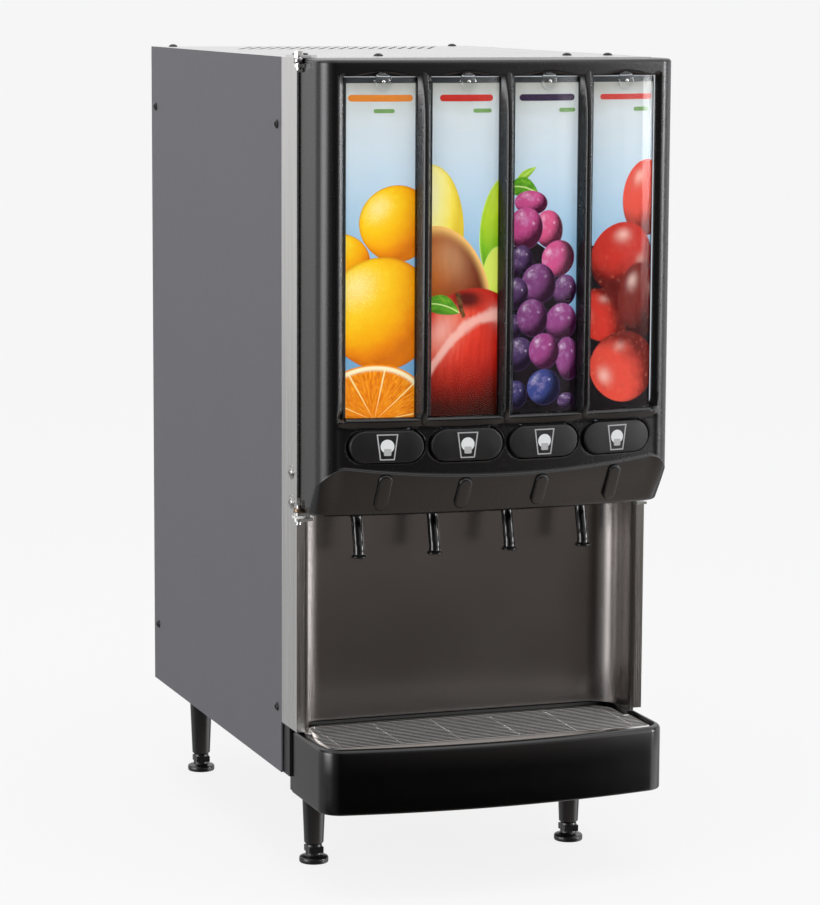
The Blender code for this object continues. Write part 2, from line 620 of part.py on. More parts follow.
def door_plan(z, inset):
    """Plan outline of the door at height z, inset from the outer skin."""
    crown = DOOR_FACE + float(np.interp(z, SKIRT_HEIGHTS, SKIRT_SETBACKS)) + inset
    rear = 6.0 if inset else DOOR_REAR        # the hollow runs out through the rear
    plan = bowed_plan(DOOR_HALF - inset, DOOR_CORNER - inset, crown, rear,
                      reach=0.8, sweep=78, steps=4)
    return [(x, y, z) for x, y in plan]


def mullion(middle):
    """Half-round bar between two windows, as arguments of add_prism."""
    outline = [(-MULLION_RADIUS, 0)] + arc(0, 0, MULLION_RADIUS, 195, 345, 8)
    outline.append((MULLION_RADIUS, 0))
    back = bow(middle, DOOR_FACE) + 2.2
    return [(middle + x, back + y) for x, y in outline], 484, 834


# shell: its upper edge is drawn in slightly
door_rings = [door_plan(z, 0) for z in (*SKIRT_HEIGHTS, 842.5)]
door_rings.append([(0.985 * x, y + (1.8 if y < -20 else 0.0), z)
                   for x, y, z in door_plan(DOOR_TOP, 0)])
door = make("door_shell", BLACK, add_loft, door_rings,
            origin=(HINGE_X, HINGE_Y, DOOR_ORIGIN_Z), smooth=30)
join(door, add_each, add_prism, [mullion(x) for x in (-WINDOW_PITCH, 0.0, WINDOW_PITCH)])
cut(door, add_loft, [door_plan(z, DOOR_WALL) for z in (394.0, 400.0, *SKIRT_HEIGHTS[2:], 843.0)])
cut(door, add_each, add_box, [(x - WINDOW_HALF, x + WINDOW_HALF, -120, -40, WINDOW_Z0, WINDOW_Z1)
                              for x in WINDOWS])
cut(door, add_each, add_prism,
    [(obround(x, BUTTON_Z, BUTTON_HALF + BUTTON_GAP, BUTTON_RADIUS + BUTTON_GAP), -120, -50)
     for x in FLAVOURS], axis="y")
for low, high in ((832.5, 870), (380, 402.5)):         # room for the hinge knuckles
    cut(door, add_disc, (HINGE_X, HINGE_Y, 0), 8.0, low, high, segments=20)


def on_door(obj):
    """Parents a piece to the door without moving it."""
    bpy.context.view_layer.update()
    world = obj.matrix_world.copy()
    obj.parent = door
    obj.matrix_parent_inverse = door.matrix_world.inverted()
    bpy.context.view_layer.update()
    obj.matrix_world = world


# liner and gasket that close the rear of the door
on_door(make("door_liner", ZINC, add_box, -180, 180, -14.5, -12.5, 403.5, 832))
gasket = make("door_gasket", RUBBER, add_box, -181, 181, -12.0, 1.4, 404, 831.5)
cut(gasket, add_box, -170.5, 170.5, -20, 10, 414.5, 821)
on_door(gasket)

# light panel and switch board, each on posts that reach back towards the liner
on_door(boxes("light_panel", WHITE, (-172, 172, -62, -56, 484, 836),
              *pair(140, 150, -57, -15, 500, 510), *pair(140, 150, -57, -15, 800, 810)))
on_door(boxes("switch_board", BOARD, (-166, 166, -64.0, -62.4, 452, 477),
              *pair(150, 160, -63, -15, 460, 470)))

# ------------------------------------------------------------------- hinges
KNUCKLE_FRONT = HINGE_Y - KNUCKLE_RADIUS


def knuckle(start, steps):
    """Round end of a hinge plate, from start degrees to its foremost point."""
    return arc(HINGE_X, HINGE_Y, KNUCKLE_RADIUS, start, 270, steps)


def door_arm(name, low, high):
    plan = knuckle(60, 8) + [(-150, KNUCKLE_FRONT), (-150, -4.2), (HINGE_X + 6.5, -4.2)]
    arm = make(name, ZINC, add_prism, plan, low, high)
    cut(arm, add_disc, (HINGE_X, HINGE_Y, 0), PIN_RADIUS + 0.3, low - 10, high + 10)
    on_door(arm)


door_arm("upper_door_arm", 837.0, 840.0)
door_arm("lower_door_arm", 387.6, 390.4)

# hinge brackets of the cabinet, each with its pin
plan = knuckle(165, 6) + [(-180, KNUCKLE_FRONT), (-168, 6), (-168, 34),
                          (HINGE_X - 0.5, 34), (HINGE_X - 5.0, 20)]
upper = make("upper_hinge_bracket", ZINC, add_prism, plan, 846.4, 848.9)
join(upper, add_disc, (HINGE_X, HINGE_Y, 0), PIN_RADIUS, 834.5, 850, segments=14)
join(upper, add_disc, (HINGE_X, HINGE_Y, 0), 4.4, 848, 853, segments=6)     # hexagonal head

LOWER_PLATE_Z = 381.4
left_tab, right_tab = pair(178, 185.4, -2.5, -0.4, 383, 402)   # upright, before the jambs
plan = knuckle(90, 8) + [(-178, KNUCKLE_FRONT), (-178, -0.4), (-186, -0.4)]
lower = make("lower_hinge_bracket", ZINC, add_prism, plan, LOWER_PLATE_Z, LOWER_PLATE_Z + 3)
join(lower, add_disc, (HINGE_X, HINGE_Y, 0), PIN_RADIUS, 378, 398, segments=14)
join(lower, add_box, *left_tab)

boxes("door_catch", ZINC, (178, 189, -12, -0.4, LOWER_PLATE_Z, 384.0), right_tab)

# ------------------------------------------------------- lenses and buttons
LENS_HALF, LENS_Z0, LENS_Z1 = 35.7, 489.5, 829.0
LENS_THICK, LENS_RECESS, LENS_CROWN = 2.2, 5.0, 2.0
PIVOT_Z = 492.0
BUTTON_PROUD = 2.0
STEM_BACK = -67.6                 # the stems end just before the switch board


def window_lens(number, middle):
    """Crowned lens with its origin on the pivot near its lower edge."""
    front = []
    for k in range(9):
        x = middle - LENS_HALF + 2 * LENS_HALF * k / 8
        across = (x - middle) / LENS_HALF
        front.append((x, bow(x, DOOR_FACE) + LENS_RECESS - LENS_CROWN * (1 - across * across)))
    back = [(x, y + LENS_THICK) for x, y in reversed(front)]
    on_door(make(f"window_lens_{number}", CLEAR, add_prism, front + back, LENS_Z0, LENS_Z1,
                 origin=(middle, bow(middle, DOOR_FACE) + LENS_RECESS, PIVOT_Z), smooth=40))


def push_button(number, middle):
    """Button whose face follows the door, with a stem to the switch."""
    # depth behind the door face, vertical scale
    sections = ((-BUTTON_PROUD, 0.93), (1.2 - BUTTON_PROUD, 1.0), (6.0, 1.0))
    outline = obround(middle, BUTTON_Z, BUTTON_HALF, BUTTON_RADIUS)
    rings = [[(x, bow(x, DOOR_FACE) + depth, BUTTON_Z + scale * (z - BUTTON_Z))
              for x, z in outline] for depth, scale in sections]
    face = bow(middle, DOOR_FACE)
    button = make(f"push_button_{number}", SATIN, add_loft, rings,
                  origin=(middle, face, BUTTON_Z))
    join(button, add_disc, (middle, 0, BUTTON_Z), 3.5, face + 4, STEM_BACK, "y", 10)
    on_door(button)


for number, middle in enumerate(WINDOWS, 1):
    window_lens(number, middle)
for number, middle in enumerate(FLAVOURS, 1):
    push_button(number, middle)

bpy.context.view_layer.update()
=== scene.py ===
"""Four-flavour countertop dispenser, dressed around its CAD frame.

Pieces are drawn in cabinet millimetres: X 0 in the middle of the cabinet, Y 0 at the stainless
front plane, Z 0 at the table. The front faces -Y, the door stands out in front of the cabinet
and is hinged on the left (-X). Only the stage, the lights and the camera are in metres.
"""
import math
import random

import bmesh
import bpy
from mathutils import Matrix, Vector

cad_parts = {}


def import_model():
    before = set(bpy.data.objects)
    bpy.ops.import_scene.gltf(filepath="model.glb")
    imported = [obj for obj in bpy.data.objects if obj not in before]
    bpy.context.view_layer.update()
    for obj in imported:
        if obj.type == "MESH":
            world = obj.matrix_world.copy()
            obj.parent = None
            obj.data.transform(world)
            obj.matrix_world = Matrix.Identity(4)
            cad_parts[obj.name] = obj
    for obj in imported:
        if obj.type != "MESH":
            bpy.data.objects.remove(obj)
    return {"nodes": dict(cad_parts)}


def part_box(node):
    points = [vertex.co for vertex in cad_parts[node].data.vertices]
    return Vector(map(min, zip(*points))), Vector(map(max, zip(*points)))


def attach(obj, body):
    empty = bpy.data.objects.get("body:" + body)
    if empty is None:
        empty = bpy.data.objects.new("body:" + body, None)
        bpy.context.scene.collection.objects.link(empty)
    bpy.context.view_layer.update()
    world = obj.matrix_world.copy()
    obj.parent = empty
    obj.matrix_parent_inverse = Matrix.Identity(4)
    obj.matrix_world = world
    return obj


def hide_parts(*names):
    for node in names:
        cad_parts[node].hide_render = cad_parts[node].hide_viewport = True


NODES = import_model()["nodes"]
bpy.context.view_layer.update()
SCENE = bpy.context.scene
RNG = random.Random(20)         # turns of the screw heads

# Cabinet origin in the CAD frame, in millimetres.
_low, _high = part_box("front_frame")
ORIGIN = Vector(((_low.x + _high.x) * 500.0, _low.y * 1000.0, 0))

# ------------------------------------------------------------------ shared sizes
FLAVOUR_COUNT = 4
WINDOW_PITCH = 86.0
FLAVOUR_PITCH = 82.3            # buttons, spouts and skirt ribs
WINDOWS = [WINDOW_PITCH * (k - 1.5) for k in range(FLAVOUR_COUNT)]
FLAVOURS = [FLAVOUR_PITCH * (k - 1.5) for k in range(FLAVOUR_COUNT)]

BOW_RADIUS = 900.0              # plan curve of the door and the tray
DOOR_CROWN = -89.0              # foremost Y of the door face
DOOR_HALF = 189.0
DOOR_REAR = -3.0
DOOR_CORNER = 20.5
DOOR_BOTTOM = 391.0
CORNER_X = DOOR_HALF - 0.8075 * DOOR_CORNER     # where the face meets the corner
CORNER_Y = (CORNER_X ** 2 / (2 * BOW_RADIUS) + DOOR_CROWN
            + DOOR_CORNER * math.cos(math.asin(0.1925)))
CORNER_END = 258.9              # plan angle at which the corner meets the face
HINGE_X, HINGE_Y = -191.5, -7.0

OPEN_X, OPEN_Z0, OPEN_Z1 = 165.3, 493.4, 829.6  # window opening
SILL_CREST = 489.8
BUTTON_Z = 464.5
PAD_LIFT = 3.35                 # pad face in front of the bowed plane


def bow(x, crown=DOOR_CROWN):
    return crown + x * x / (2 * BOW_RADIUS)


def clamp(t):
    return max(0.0, min(1.0, t))


def ease(t):
    t = clamp(t)
    return t * t * (3 - 2 * t)


# ------------------------------------------------------------------ shader helpers
def srgb(r, g, b):
    """Linear RGBA from 0-255 display values."""
    def linear(c):
        c /= 255.0
        return c / 12.92 if c <= 0.04045 else ((c + 0.055) / 1.055) ** 2.4
    return (linear(r), linear(g), linear(b), 1.0)


class Wire:
    """An output socket; arithmetic on it adds Math nodes."""

    def __init__(self, net, socket):
        self.net, self.socket = net, socket

    def __add__(self, other):
        return self.net.math("ADD", self, other)

    def __radd__(self, other):
        return self.net.math("ADD", other, self)

    def __sub__(self, other):
        return self.net.math("SUBTRACT", self, other)

    def __rsub__(self, other):
        return self.net.math("SUBTRACT", other, self)

    def __mul__(self, other):
        return self.net.math("MULTIPLY", self, other)

    def __pow__(self, other):
        return self.net.math("POWER", self, other)

    def __abs__(self):
        return self.net.math("ABSOLUTE", self)

    def lin(self, low, high, to_low=0.0, to_high=1.0, **props):
        """The range low-high mapped to to_low-to_high."""
        node = self.net.node("ShaderNodeMapRange", **props)
        for socket, value in zip(node.inputs, (self, low, high, to_low, to_high)):
            self.net.put(socket, value)
        return Wire(self.net, node.outputs[0])

    def step(self, low, high, to_low=0.0, to_high=1.0):
        """As lin, with a smooth start and end."""
        return self.lin(low, high, to_low, to_high, interpolation_type="SMOOTHSTEP")


class Net:
    """Short calls that add shader nodes and return their outputs as wires."""

    def __init__(self, tree, clear=False):
        self.nodes, self.links = tree.nodes, tree.links
        if clear:
            for node in list(self.nodes):
                self.nodes.remove(node)

    def node(self, kind, **props):
        made = self.nodes.new(kind)
        for key, value in props.items():
            setattr(made, key, value)
        return made

    def put(self, socket, value):
        if isinstance(value, Wire):
            self.links.new(value.socket, socket)
        elif value is not None:
            socket.default_value = value

    def math(self, operation, a, b=None):
        node = self.node("ShaderNodeMath", operation=operation)
        self.put(node.inputs[0], a)
        self.put(node.inputs[1], b)
        return Wire(self, node.outputs[0])

    def vector(self, operation, a, b=None):
        node = self.node("ShaderNodeVectorMath", operation=operation)
        self.put(node.inputs[0], a)
        self.put(node.inputs[1], b)
        return Wire(self, node.outputs[1 if operation in ("DOT_PRODUCT", "LENGTH") else 0])

    def mix(self, factor, a, b, mode="MIX"):
        node = self.node("ShaderNodeMix", data_type="RGBA", blend_type=mode)
        self.put(node.inputs[0], factor)
        self.put(node.inputs[6], a)
        self.put(node.inputs[7], b)
        return Wire(self, node.outputs[2])

    def ramp(self, factor, *stops):
        """Colour ramp; each stop is (position, red, green, blue) in display values."""
        node = self.node("ShaderNodeValToRGB")
        elements = node.color_ramp.elements
        while len(elements) < len(stops):
            elements.new(0.5)
        for element, (position, *colour) in zip(elements, stops):
            element.position = position
            element.color = srgb(*colour)
        self.put(node.inputs[0], factor)
        return Wire(self, node.outputs[0])

    def noise(self, vector, scale, detail=4.0, rough=0.6):
        node = self.node("ShaderNodeTexNoise")
        self.put(node.inputs["Vector"], vector)
        self.put(node.inputs["Scale"], scale)
        self.put(node.inputs["Detail"], detail)
        self.put(node.inputs["Roughness"], rough)
        return Wire(self, node.outputs[0])

    def voronoi(self, vector, scale):
        node = self.node("ShaderNodeTexVoronoi", feature="F1")
        self.put(node.inputs["Vector"], vector)
        self.put(node.inputs["Scale"], scale)
        return Wire(self, node.outputs["Distance"])

    def split(self, vector):
        node = self.node("ShaderNodeSeparateXYZ")
        self.put(node.inputs[0], vector)
        return [Wire(self, output) for output in node.outputs]

    def join(self, x, y, z):
        node = self.node("ShaderNodeCombineXYZ")
        for socket, value in zip(node.inputs, (x, y, z)):
            self.put(socket, value)
        return Wire(self, node.outputs[0])

    def coords(self, output="Object"):
        return Wire(self, self.node("ShaderNodeTexCoord").outputs[output])

    def stretch(self, vector, scale):
        node = self.node("ShaderNodeMapping")
        self.put(node.inputs["Vector"], vector)
        self.put(node.inputs["Scale"], scale)
        return Wire(self, node.outputs[0])

    def bump(self, height, strength, distance):
        node = self.node("ShaderNodeBump")
        self.put(node.inputs["Height"], height)
        self.put(node.inputs["Strength"], strength)
        self.put(node.inputs["Distance"], distance)
        return Wire(self, node.outputs[0])


def new_material(name):
    """Material, its net, and a function that sets one Principled input."""
    material = bpy.data.materials.new(name)
    material.use_nodes = True
    net = Net(material.node_tree)
    inputs = net.nodes["Principled BSDF"].inputs

    def surface(socket, value):
        net.put(inputs[socket], value)
    return material, net, surface


def tone_pair(colour, vary):
    """Darker and lighter versions of a colour."""
    dark = tuple(c * (1 - vary) for c in colour) + (1.0,)
    light = tuple(min(1.0, c * (1 + vary)) for c in colour) + (1.0,)
    return dark, light


def grained(name, colour, rough, metal=0.0, grain=1400.0, bump=0.25, depth=6e-5, vary=0.12,
            rough_vary=0.10, cloud=6.0, specular=0.5):
    """Moulded, painted or cast surface: fine grain, and broad changes of tone and gloss.

    grain and cloud are noise scales, depth is the bump distance in metres.
    """
    material, net, surface = new_material(name)
    coords = net.coords()
    fine = net.noise(coords, grain, detail=2.0)
    broad = net.noise(coords, cloud)
    middle = net.noise(coords, 90.0, detail=3.0)
    base = net.mix(broad.lin(0.3, 0.7), *tone_pair(colour, vary))
    lifted = net.mix(1.0, base, (1.12, 1.12, 1.12, 1.0), "MULTIPLY")
    surface("Base Color", net.mix(fine.lin(0.35, 0.65, 0.0, 0.35), base, lifted))
    surface("Roughness", (rough - rough_vary * 0.5) + middle * rough_vary)
    surface("Metallic", metal)
    surface("Specular IOR Level", specular)
    surface("Coat Roughness", 0.08)
    surface("Normal", net.bump(fine, bump, depth))
    return material


def brushed(name, colour, rough, along="x", bump=0.10, vary=0.10, grain=900.0, rough_vary=0.22):
    """Sheet with a brushed grain that runs along one axis."""
    material, net, surface = new_material(name)
    coords = net.coords()

    def streaks(across_scale, along_scale, detail, rough):
        scale = [grain * across_scale] * 3
        scale["xyz".index(along)] = grain * along_scale
        return net.noise(net.stretch(coords, scale), 1.0, detail, rough)
    lines = streaks(1.0, 0.012, detail=3.0, rough=0.65)
    bands = streaks(0.22, 0.004, detail=2.0, rough=0.5)
    broad = net.noise(coords, 5.0, detail=3.0, rough=0.5)
    tone = lines * 0.6 + bands * 0.4
    surface("Base Color", net.mix(tone.lin(0.35, 0.65), *tone_pair(colour, vary)))
    surface("Roughness", (lines - 0.5) * rough_vary + ((rough - 0.05) + broad * 0.10))
    surface("Metallic", 1.0)
    surface("Normal", net.bump(lines, bump, 4e-5))
    return material


def clear_plastic(name, ior):
    material, net, surface = new_material(name)
    surface("Base Color", (0.975, 0.985, 0.99, 1.0))
    wipe = net.noise(net.coords(), 35.0, detail=3.0)
    surface("Roughness", wipe.lin(0.35, 0.75, 0.015, 0.05))
    surface("IOR", ior)
    surface("Transmission Weight", 1.0)
    return material


def light_diffuser():
    material, net, surface = new_material("light_panel_diffuser")
    coords = net.coords()
    cloud = net.noise(coords, 9.0, detail=2.0, rough=0.5)
    tone = net.mix(cloud.lin(0.3, 0.7), (0.82, 0.86, 0.90, 1.0), (0.90, 0.92, 0.94, 1.0))
    surface("Base Color", tone)
    surface("Emission Color", tone)
    surface("Emission Strength", 0.6)
    surface("Roughness", 0.4)
    surface("Normal", net.bump(net.noise(coords, 1200.0, detail=3.0, rough=0.5), 0.2, 5e-5))
    return material


# ------------------------------------------------------------------ materials
GREY = grained("grey_powder_coat", (0.118, 0.118, 0.131), rough=0.50, grain=1500, bump=0.55,
               depth=1e-4, vary=0.02, rough_vary=0.05, specular=0.45)
GREY_BACK = grained("grey_powder_coat_back", (0.165, 0.165, 0.176), rough=0.52, grain=1300,
                    bump=0.6, depth=1.2e-4, vary=0.06, specular=0.4)
STEEL_UPRIGHT = brushed("stainless_upright_grain", (0.70, 0.69, 0.67), rough=0.24, along="z")
# Splash steel: the jambs' stainless darkened to about half, which is painted shade for the dim
# dispensing bay under the door; the cross grain is real.
STEEL_CROSS_SHADED = brushed("stainless_cross_grain_painted_shade", (0.335, 0.312, 0.298), rough=0.25, bump=0.012,
                      vary=0.025, grain=1500, rough_vary=0.02)
STEEL_TOP = brushed("stainless_top", (0.63, 0.625, 0.615), rough=0.30)
# Wire steel darkened to well below the rim's: painted shade on the wires in the bay under the
# door.
STEEL_WIRE_SHADED = brushed("stainless_wire_painted_shade", (0.29, 0.278, 0.27), rough=0.22, bump=0.02,
                     rough_vary=0.05)
STEEL_RIM = brushed("stainless_rim", (0.70, 0.685, 0.66), rough=0.22, bump=0.03,
                    rough_vary=0.05)
STEEL_INSIDE = brushed("stainless_inside", (0.60, 0.60, 0.59), rough=0.33, along="y")
ZINC = grained("zinc_plate_bright", (0.62, 0.62, 0.61), rough=0.30, metal=1.0, grain=260,
               bump=0.12, depth=5e-5, vary=0.14, rough_vary=0.2, cloud=60)
SCREW_STEEL = grained("screw_stainless", (0.40, 0.39, 0.385), rough=0.30, metal=1.0, grain=900,
                      bump=0.2, depth=4e-5, vary=0.15, cloud=60)
CHROME = grained("bright_plate", (0.74, 0.74, 0.73), rough=0.17, metal=1.0, grain=300,
                 bump=0.06, depth=4e-5, vary=0.08, cloud=70)
BRONZE = grained("sintered_bronze", (0.20, 0.145, 0.10), rough=0.38, metal=1.0, grain=2200,
                 bump=0.3, depth=5e-5, vary=0.2, cloud=80)
DOOR = grained("door_black_satin", (0.0040, 0.0036, 0.0040), rough=0.27, grain=2600,
               bump=0.035, depth=3e-5, vary=0.10, rough_vary=0.04)
PAD = grained("button_textured_black", (0.0040, 0.0036, 0.0041), rough=0.47, grain=1500,
              bump=0.9, depth=1.6e-4, rough_vary=0.15, specular=0.45)
GLOSS = grained("nozzle_gloss_black", (0.0015, 0.0015, 0.0018), rough=0.09, grain=700,
                bump=0.01, depth=3e-5, vary=0.1, rough_vary=0.02)
TRAY = grained("tray_black", (0.0008, 0.0008, 0.0011), rough=0.22, grain=2400, bump=0.04,
               depth=3e-5, vary=0.10, rough_vary=0.07)
LEG = grained("leg_black", (0.010, 0.010, 0.011), rough=0.30, grain=1800, depth=4e-5)
BASE = grained("base_black_paint", (0.012, 0.012, 0.013), rough=0.42, grain=1500, bump=0.5,
               depth=8e-5, vary=0.1)
SCREW_BLACK = grained("screw_black_oxide", (0.018, 0.018, 0.019), rough=0.34, metal=0.6,
                      grain=1800, depth=4e-5, vary=0.2)
WHITE = grained("white_moulding", (0.74, 0.74, 0.71), rough=0.38, grain=900, bump=0.2,
                depth=4e-5, vary=0.04)
JAR = grained("blown_container", (0.70, 0.69, 0.62), rough=0.33, grain=300, bump=0.3,
              depth=1.2e-4, vary=0.05, cloud=14)
TANK = grained("water_tank_white", (0.66, 0.67, 0.66), rough=0.5, grain=700, bump=0.4,
               depth=8e-5, vary=0.05)
RUBBER = grained("door_seal_rubber", (0.045, 0.045, 0.047), rough=0.62, grain=1500, bump=0.5)
COPPER = grained("copper_tube", (0.70, 0.34, 0.19), rough=0.28, metal=1.0, grain=400,
                 bump=0.15, depth=5e-5, vary=0.25, rough_vary=0.2, cloud=25)
ENAMEL = grained("black_enamel_steel", (0.010, 0.010, 0.011), rough=0.26, grain=500,
                 bump=0.35, depth=1e-4)
ALUMINIUM = grained("aluminium_fins", (0.68, 0.69, 0.70), rough=0.33, metal=1.0, grain=700,
                    bump=0.2, depth=5e-5, vary=0.1)
BRASS = grained("brass_fitting", (0.66, 0.49, 0.21), rough=0.25, metal=1.0, grain=900,
                bump=0.12, depth=4e-5, vary=0.15, cloud=40)
BOARD = grained("circuit_board_green", (0.02, 0.13, 0.055), rough=0.38, grain=500, bump=0.5,
                depth=1.2e-4, vary=0.25, cloud=120)
PUMP = grained("pump_black", (0.015, 0.015, 0.016), rough=0.4, grain=1300, bump=0.4)
CORD = grained("cord_black", (0.012, 0.012, 0.013), rough=0.5, grain=900, bump=0.4,
               depth=8e-5, vary=0.15)
CARD_EDGE = grained("card_surround", (0.020, 0.026, 0.030), rough=0.45, grain=900, bump=0.15,
                    depth=3e-5, vary=0.15)
SIGN = grained("button_print", (0.46, 0.46, 0.46), rough=0.45, grain=1300, bump=0.2,
               depth=3e-5, vary=0.04)
SIGN_DISC = grained("button_print_white", (0.80, 0.82, 0.82), rough=0.42, grain=1300,
                    bump=0.15, depth=3e-5, vary=0.03)
CLEAR = clear_plastic("clear_window", ior=1.17)
CLEAR_TAB = clear_plastic("clear_tab", ior=1.45)
LENS_EDGE = grained("clear_window_edge", (0.010, 0.016, 0.020), rough=0.30, grain=900,
                    bump=0.2, depth=3e-5, vary=0.2)
LIGHT = light_diffuser()


# ------------------------------------------------------------------ mesh helpers
def add_object(name, data):
    obj = bpy.data.objects.new(name, data)
    SCENE.collection.objects.link(obj)
    return obj


def mesh_from(name, bm):
    """Mesh in metres from a bmesh in cabinet millimetres, which is freed."""
    bmesh.ops.transform(bm, matrix=Matrix.Translation(ORIGIN), verts=bm.verts)
    bmesh.ops.scale(bm, verts=bm.verts, vec=(0.001, 0.001, 0.001))
    mesh = bpy.data.meshes.new(name)
    bm.to_mesh(mesh)
    bm.free()
    return mesh


def turn_outward(bm):
    bmesh.ops.recalc_face_normals(bm, faces=bm.faces)


def shade(mesh, angle):
    mesh.shade_smooth()
    mesh.set_sharp_from_angle(angle=math.radians(angle))


def piece(name, bm, materials, body, replaces=None, smooth=35, outward=True):
    """A bmesh in cabinet millimetres becomes a piece that rides on a CAD body."""
    if outward:
        turn_outward(bm)
    mesh = mesh_from(name, bm)
    for material in materials if isinstance(materials, list) else [materials]:
        mesh.materials.append(material)
    obj = add_object(name, mesh)
    if smooth:
        shade(mesh, smooth)
    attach(obj, body)
    if replaces:
        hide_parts(replaces)
    return obj


def bevel(obj, width, segments, angle=35.0):
    mod = obj.modifiers.new("edge", "BEVEL")
    mod.width = width * 0.001
    mod.segments = segments
    mod.limit_method = "ANGLE"
    mod.angle_limit = math.radians(angle)
    mod.use_clamp_overlap = True
    mod.harden_normals = False
    mod.miter_outer = "MITER_ARC"


def boolean(obj, cutter_bm, operation="DIFFERENCE"):
    """Cut or join a bmesh in cabinet millimetres, and bake the result."""
    turn_outward(cutter_bm)
    cutter = add_object("cutter", mesh_from("cutter", cutter_bm))
    mod = obj.modifiers.new("boolean", "BOOLEAN")
    mod.operation, mod.solver, mod.object = operation, "EXACT", cutter
    bpy.context.view_layer.update()
    depsgraph = bpy.context.evaluated_depsgraph_get()
    made = bpy.data.meshes.new_from_object(obj.evaluated_get(depsgraph))
    obj.modifiers.clear()
    old = obj.data
    obj.data = made
    bpy.data.meshes.remove(old)
    bpy.data.objects.remove(cutter, do_unlink=True)


def arc(cx, cy, r, start, end, n):
    """n + 1 points on an arc, angles in degrees."""
    angles = [math.radians(start + (end - start) * k / n) for k in range(n + 1)]
    return [(cx + r * math.cos(a), cy + r * math.sin(a)) for a in angles]


def circle(r, z, n):
    angles = [2 * math.pi * k / n for k in range(n)]
    return [(r * math.cos(a), r * math.sin(a), z) for a in angles]


def loft(bm, rings, cap=True, closed_profile=False, mat=0):
    """Skin over rings of equal length. Returns the rows of vertices."""
    rows = [[bm.verts.new(p) for p in ring] for ring in rings]
    pairs = list(zip(rows, rows[1:]))
    if closed_profile:
        pairs.append((rows[-1], rows[0]))
    faces = []
    for low, high in pairs:
        for i in range(len(low)):
            j = (i + 1) % len(low)
            faces.append(bm.faces.new((low[i], low[j], high[j], high[i])))
    if cap and not closed_profile:
        faces.append(bm.faces.new(rows[0][::-1]))
        faces.append(bm.faces.new(rows[-1]))
    for face in faces:
        face.material_index = mat
    return rows


def prism(bm, points, low, high, axis="z", mat=0):
    def place(p, h):
        return (p[0], p[1], h) if axis == "z" else (p[0], h, p[1])
    a = [bm.verts.new(place(p, low)) for p in points]
    b = [bm.verts.new(place(p, high)) for p in points]
    faces = [bm.faces.new(a), bm.faces.new(b[::-1])]
    for i in range(len(points)):
        j = (i + 1) % len(points)
        faces.append(bm.faces.new((a[j], a[i], b[i], b[j])))
    for face in faces:
        face.material_index = mat


def block(bm, x0, x1, y0, y1, z0, z1):
    prism(bm, [(x0, y0), (x1, y0), (x1, y1), (x0, y1)], z0, z1)


def lathe(bm, profile, centre, axis="z", segments=32, mat=0):
    """(radius, height) points turned about an axis; a repeated first point closes a ring."""
    cx, cy, cz = centre
    closed = profile[0] == profile[-1]
    angles = [2 * math.pi * k / segments for k in range(segments)]

    def place(r, h, a):
        u, v = r * math.cos(a), r * math.sin(a)
        return (cx + u, cy + v, cz + h) if axis == "z" else (cx + u, cy + h, cz + v)
    rings = []
    for r, h in profile[:-1] if closed else profile:
        rings.append([bm.verts.new(place(r, h, a)) for a in (angles if r else [0])])
    pairs = list(zip(rings, rings[1:]))
    if closed:
        pairs.append((rings[-1], rings[0]))
    for a, b in pairs:
        if len(a) == 1 and len(b) == 1:
            continue
        for k in range(segments):
            m = (k + 1) % segments
            if len(a) == 1:
                corners = (a[0], b[k], b[m])
            elif len(b) == 1:
                corners = (a[k], b[0], a[m])
            else:
                corners = (a[k], b[k], b[m], a[m])
            bm.faces.new(corners).material_index = mat


def tube(bm, path, radii, segments=16, bore=None, mat=0):
    """Round bar along a path; a bore makes it a pipe."""
    path = [Vector(p) for p in path]
    last = len(path) - 1
    if not isinstance(radii, list):
        radii = [radii] * len(path)
    tangents = [(path[min(i + 1, last)] - path[max(i - 1, 0)]).normalized()
                for i in range(len(path))]
    side = tangents[0].orthogonal().normalized()
    frames = []
    for tangent in tangents:
        side = (side - tangent * side.dot(tangent)).normalized()
        frames.append((side.copy(), tangent.cross(side)))

    def ring(i, r):
        u, v = frames[i]
        angles = [2 * math.pi * k / segments for k in range(segments)]
        return [bm.verts.new(path[i] + r * (u * math.cos(a) + v * math.sin(a)))
                for a in angles]
    rows = [ring(i, r) for i, r in enumerate(radii)]
    faces = []
    if bore is None:
        faces += [bm.faces.new(rows[0][::-1]), bm.faces.new(rows[-1])]
        pairs = list(zip(rows, rows[1:]))
    else:
        rows += [ring(i, bore) for i in range(len(path))][::-1]
        pairs = list(zip(rows, rows[1:])) + [(rows[-1], rows[0])]
    for a, b in pairs:
        for k in range(segments):
            m = (k + 1) % segments
            faces.append(bm.faces.new((a[k], a[m], b[m], b[k])))
    for face in faces:
        face.material_index = mat


def bent_sheet(bm, front_low, front_high, back_low, back_high):
    """Closed slab between four rows of vertices that run along X."""
    for i in range(len(front_low) - 1):
        j = i + 1
        bm.faces.new((front_low[i], front_low[j], front_high[j], front_high[i]))
        bm.faces.new((back_low[j], back_low[i], back_high[i], back_high[j]))
        bm.faces.new((front_low[j], front_low[i], back_low[i], back_low[j]))
        bm.faces.new((front_high[i], front_high[j], back_high[j], back_high[i]))
    bm.faces.new((front_low[0], front_high[0], back_high[0], back_low[0]))
    bm.faces.new((front_low[-1], back_low[-1], back_high[-1], front_high[-1]))


def spline(points, per):
    """Catmull-Rom points through a list, with a given number per span."""
    pts = [Vector(p) for p in points]
    pts = [2 * pts[0] - pts[1]] + pts + [2 * pts[-1] - pts[-2]]
    out = []
    for i in range(1, len(pts) - 2):
        p0, p1, p2, p3 = pts[i - 1:i + 3]
        for k in range(per):
            t = k / per
            out.append(0.5 * ((2 * p1) + (p2 - p0) * t + (2 * p0 - 5 * p1 + 4 * p2 - p3) * t * t
                              + (3 * p1 - p0 - 3 * p2 + p3) * t ** 3))
    out.append(pts[-2])
    return out


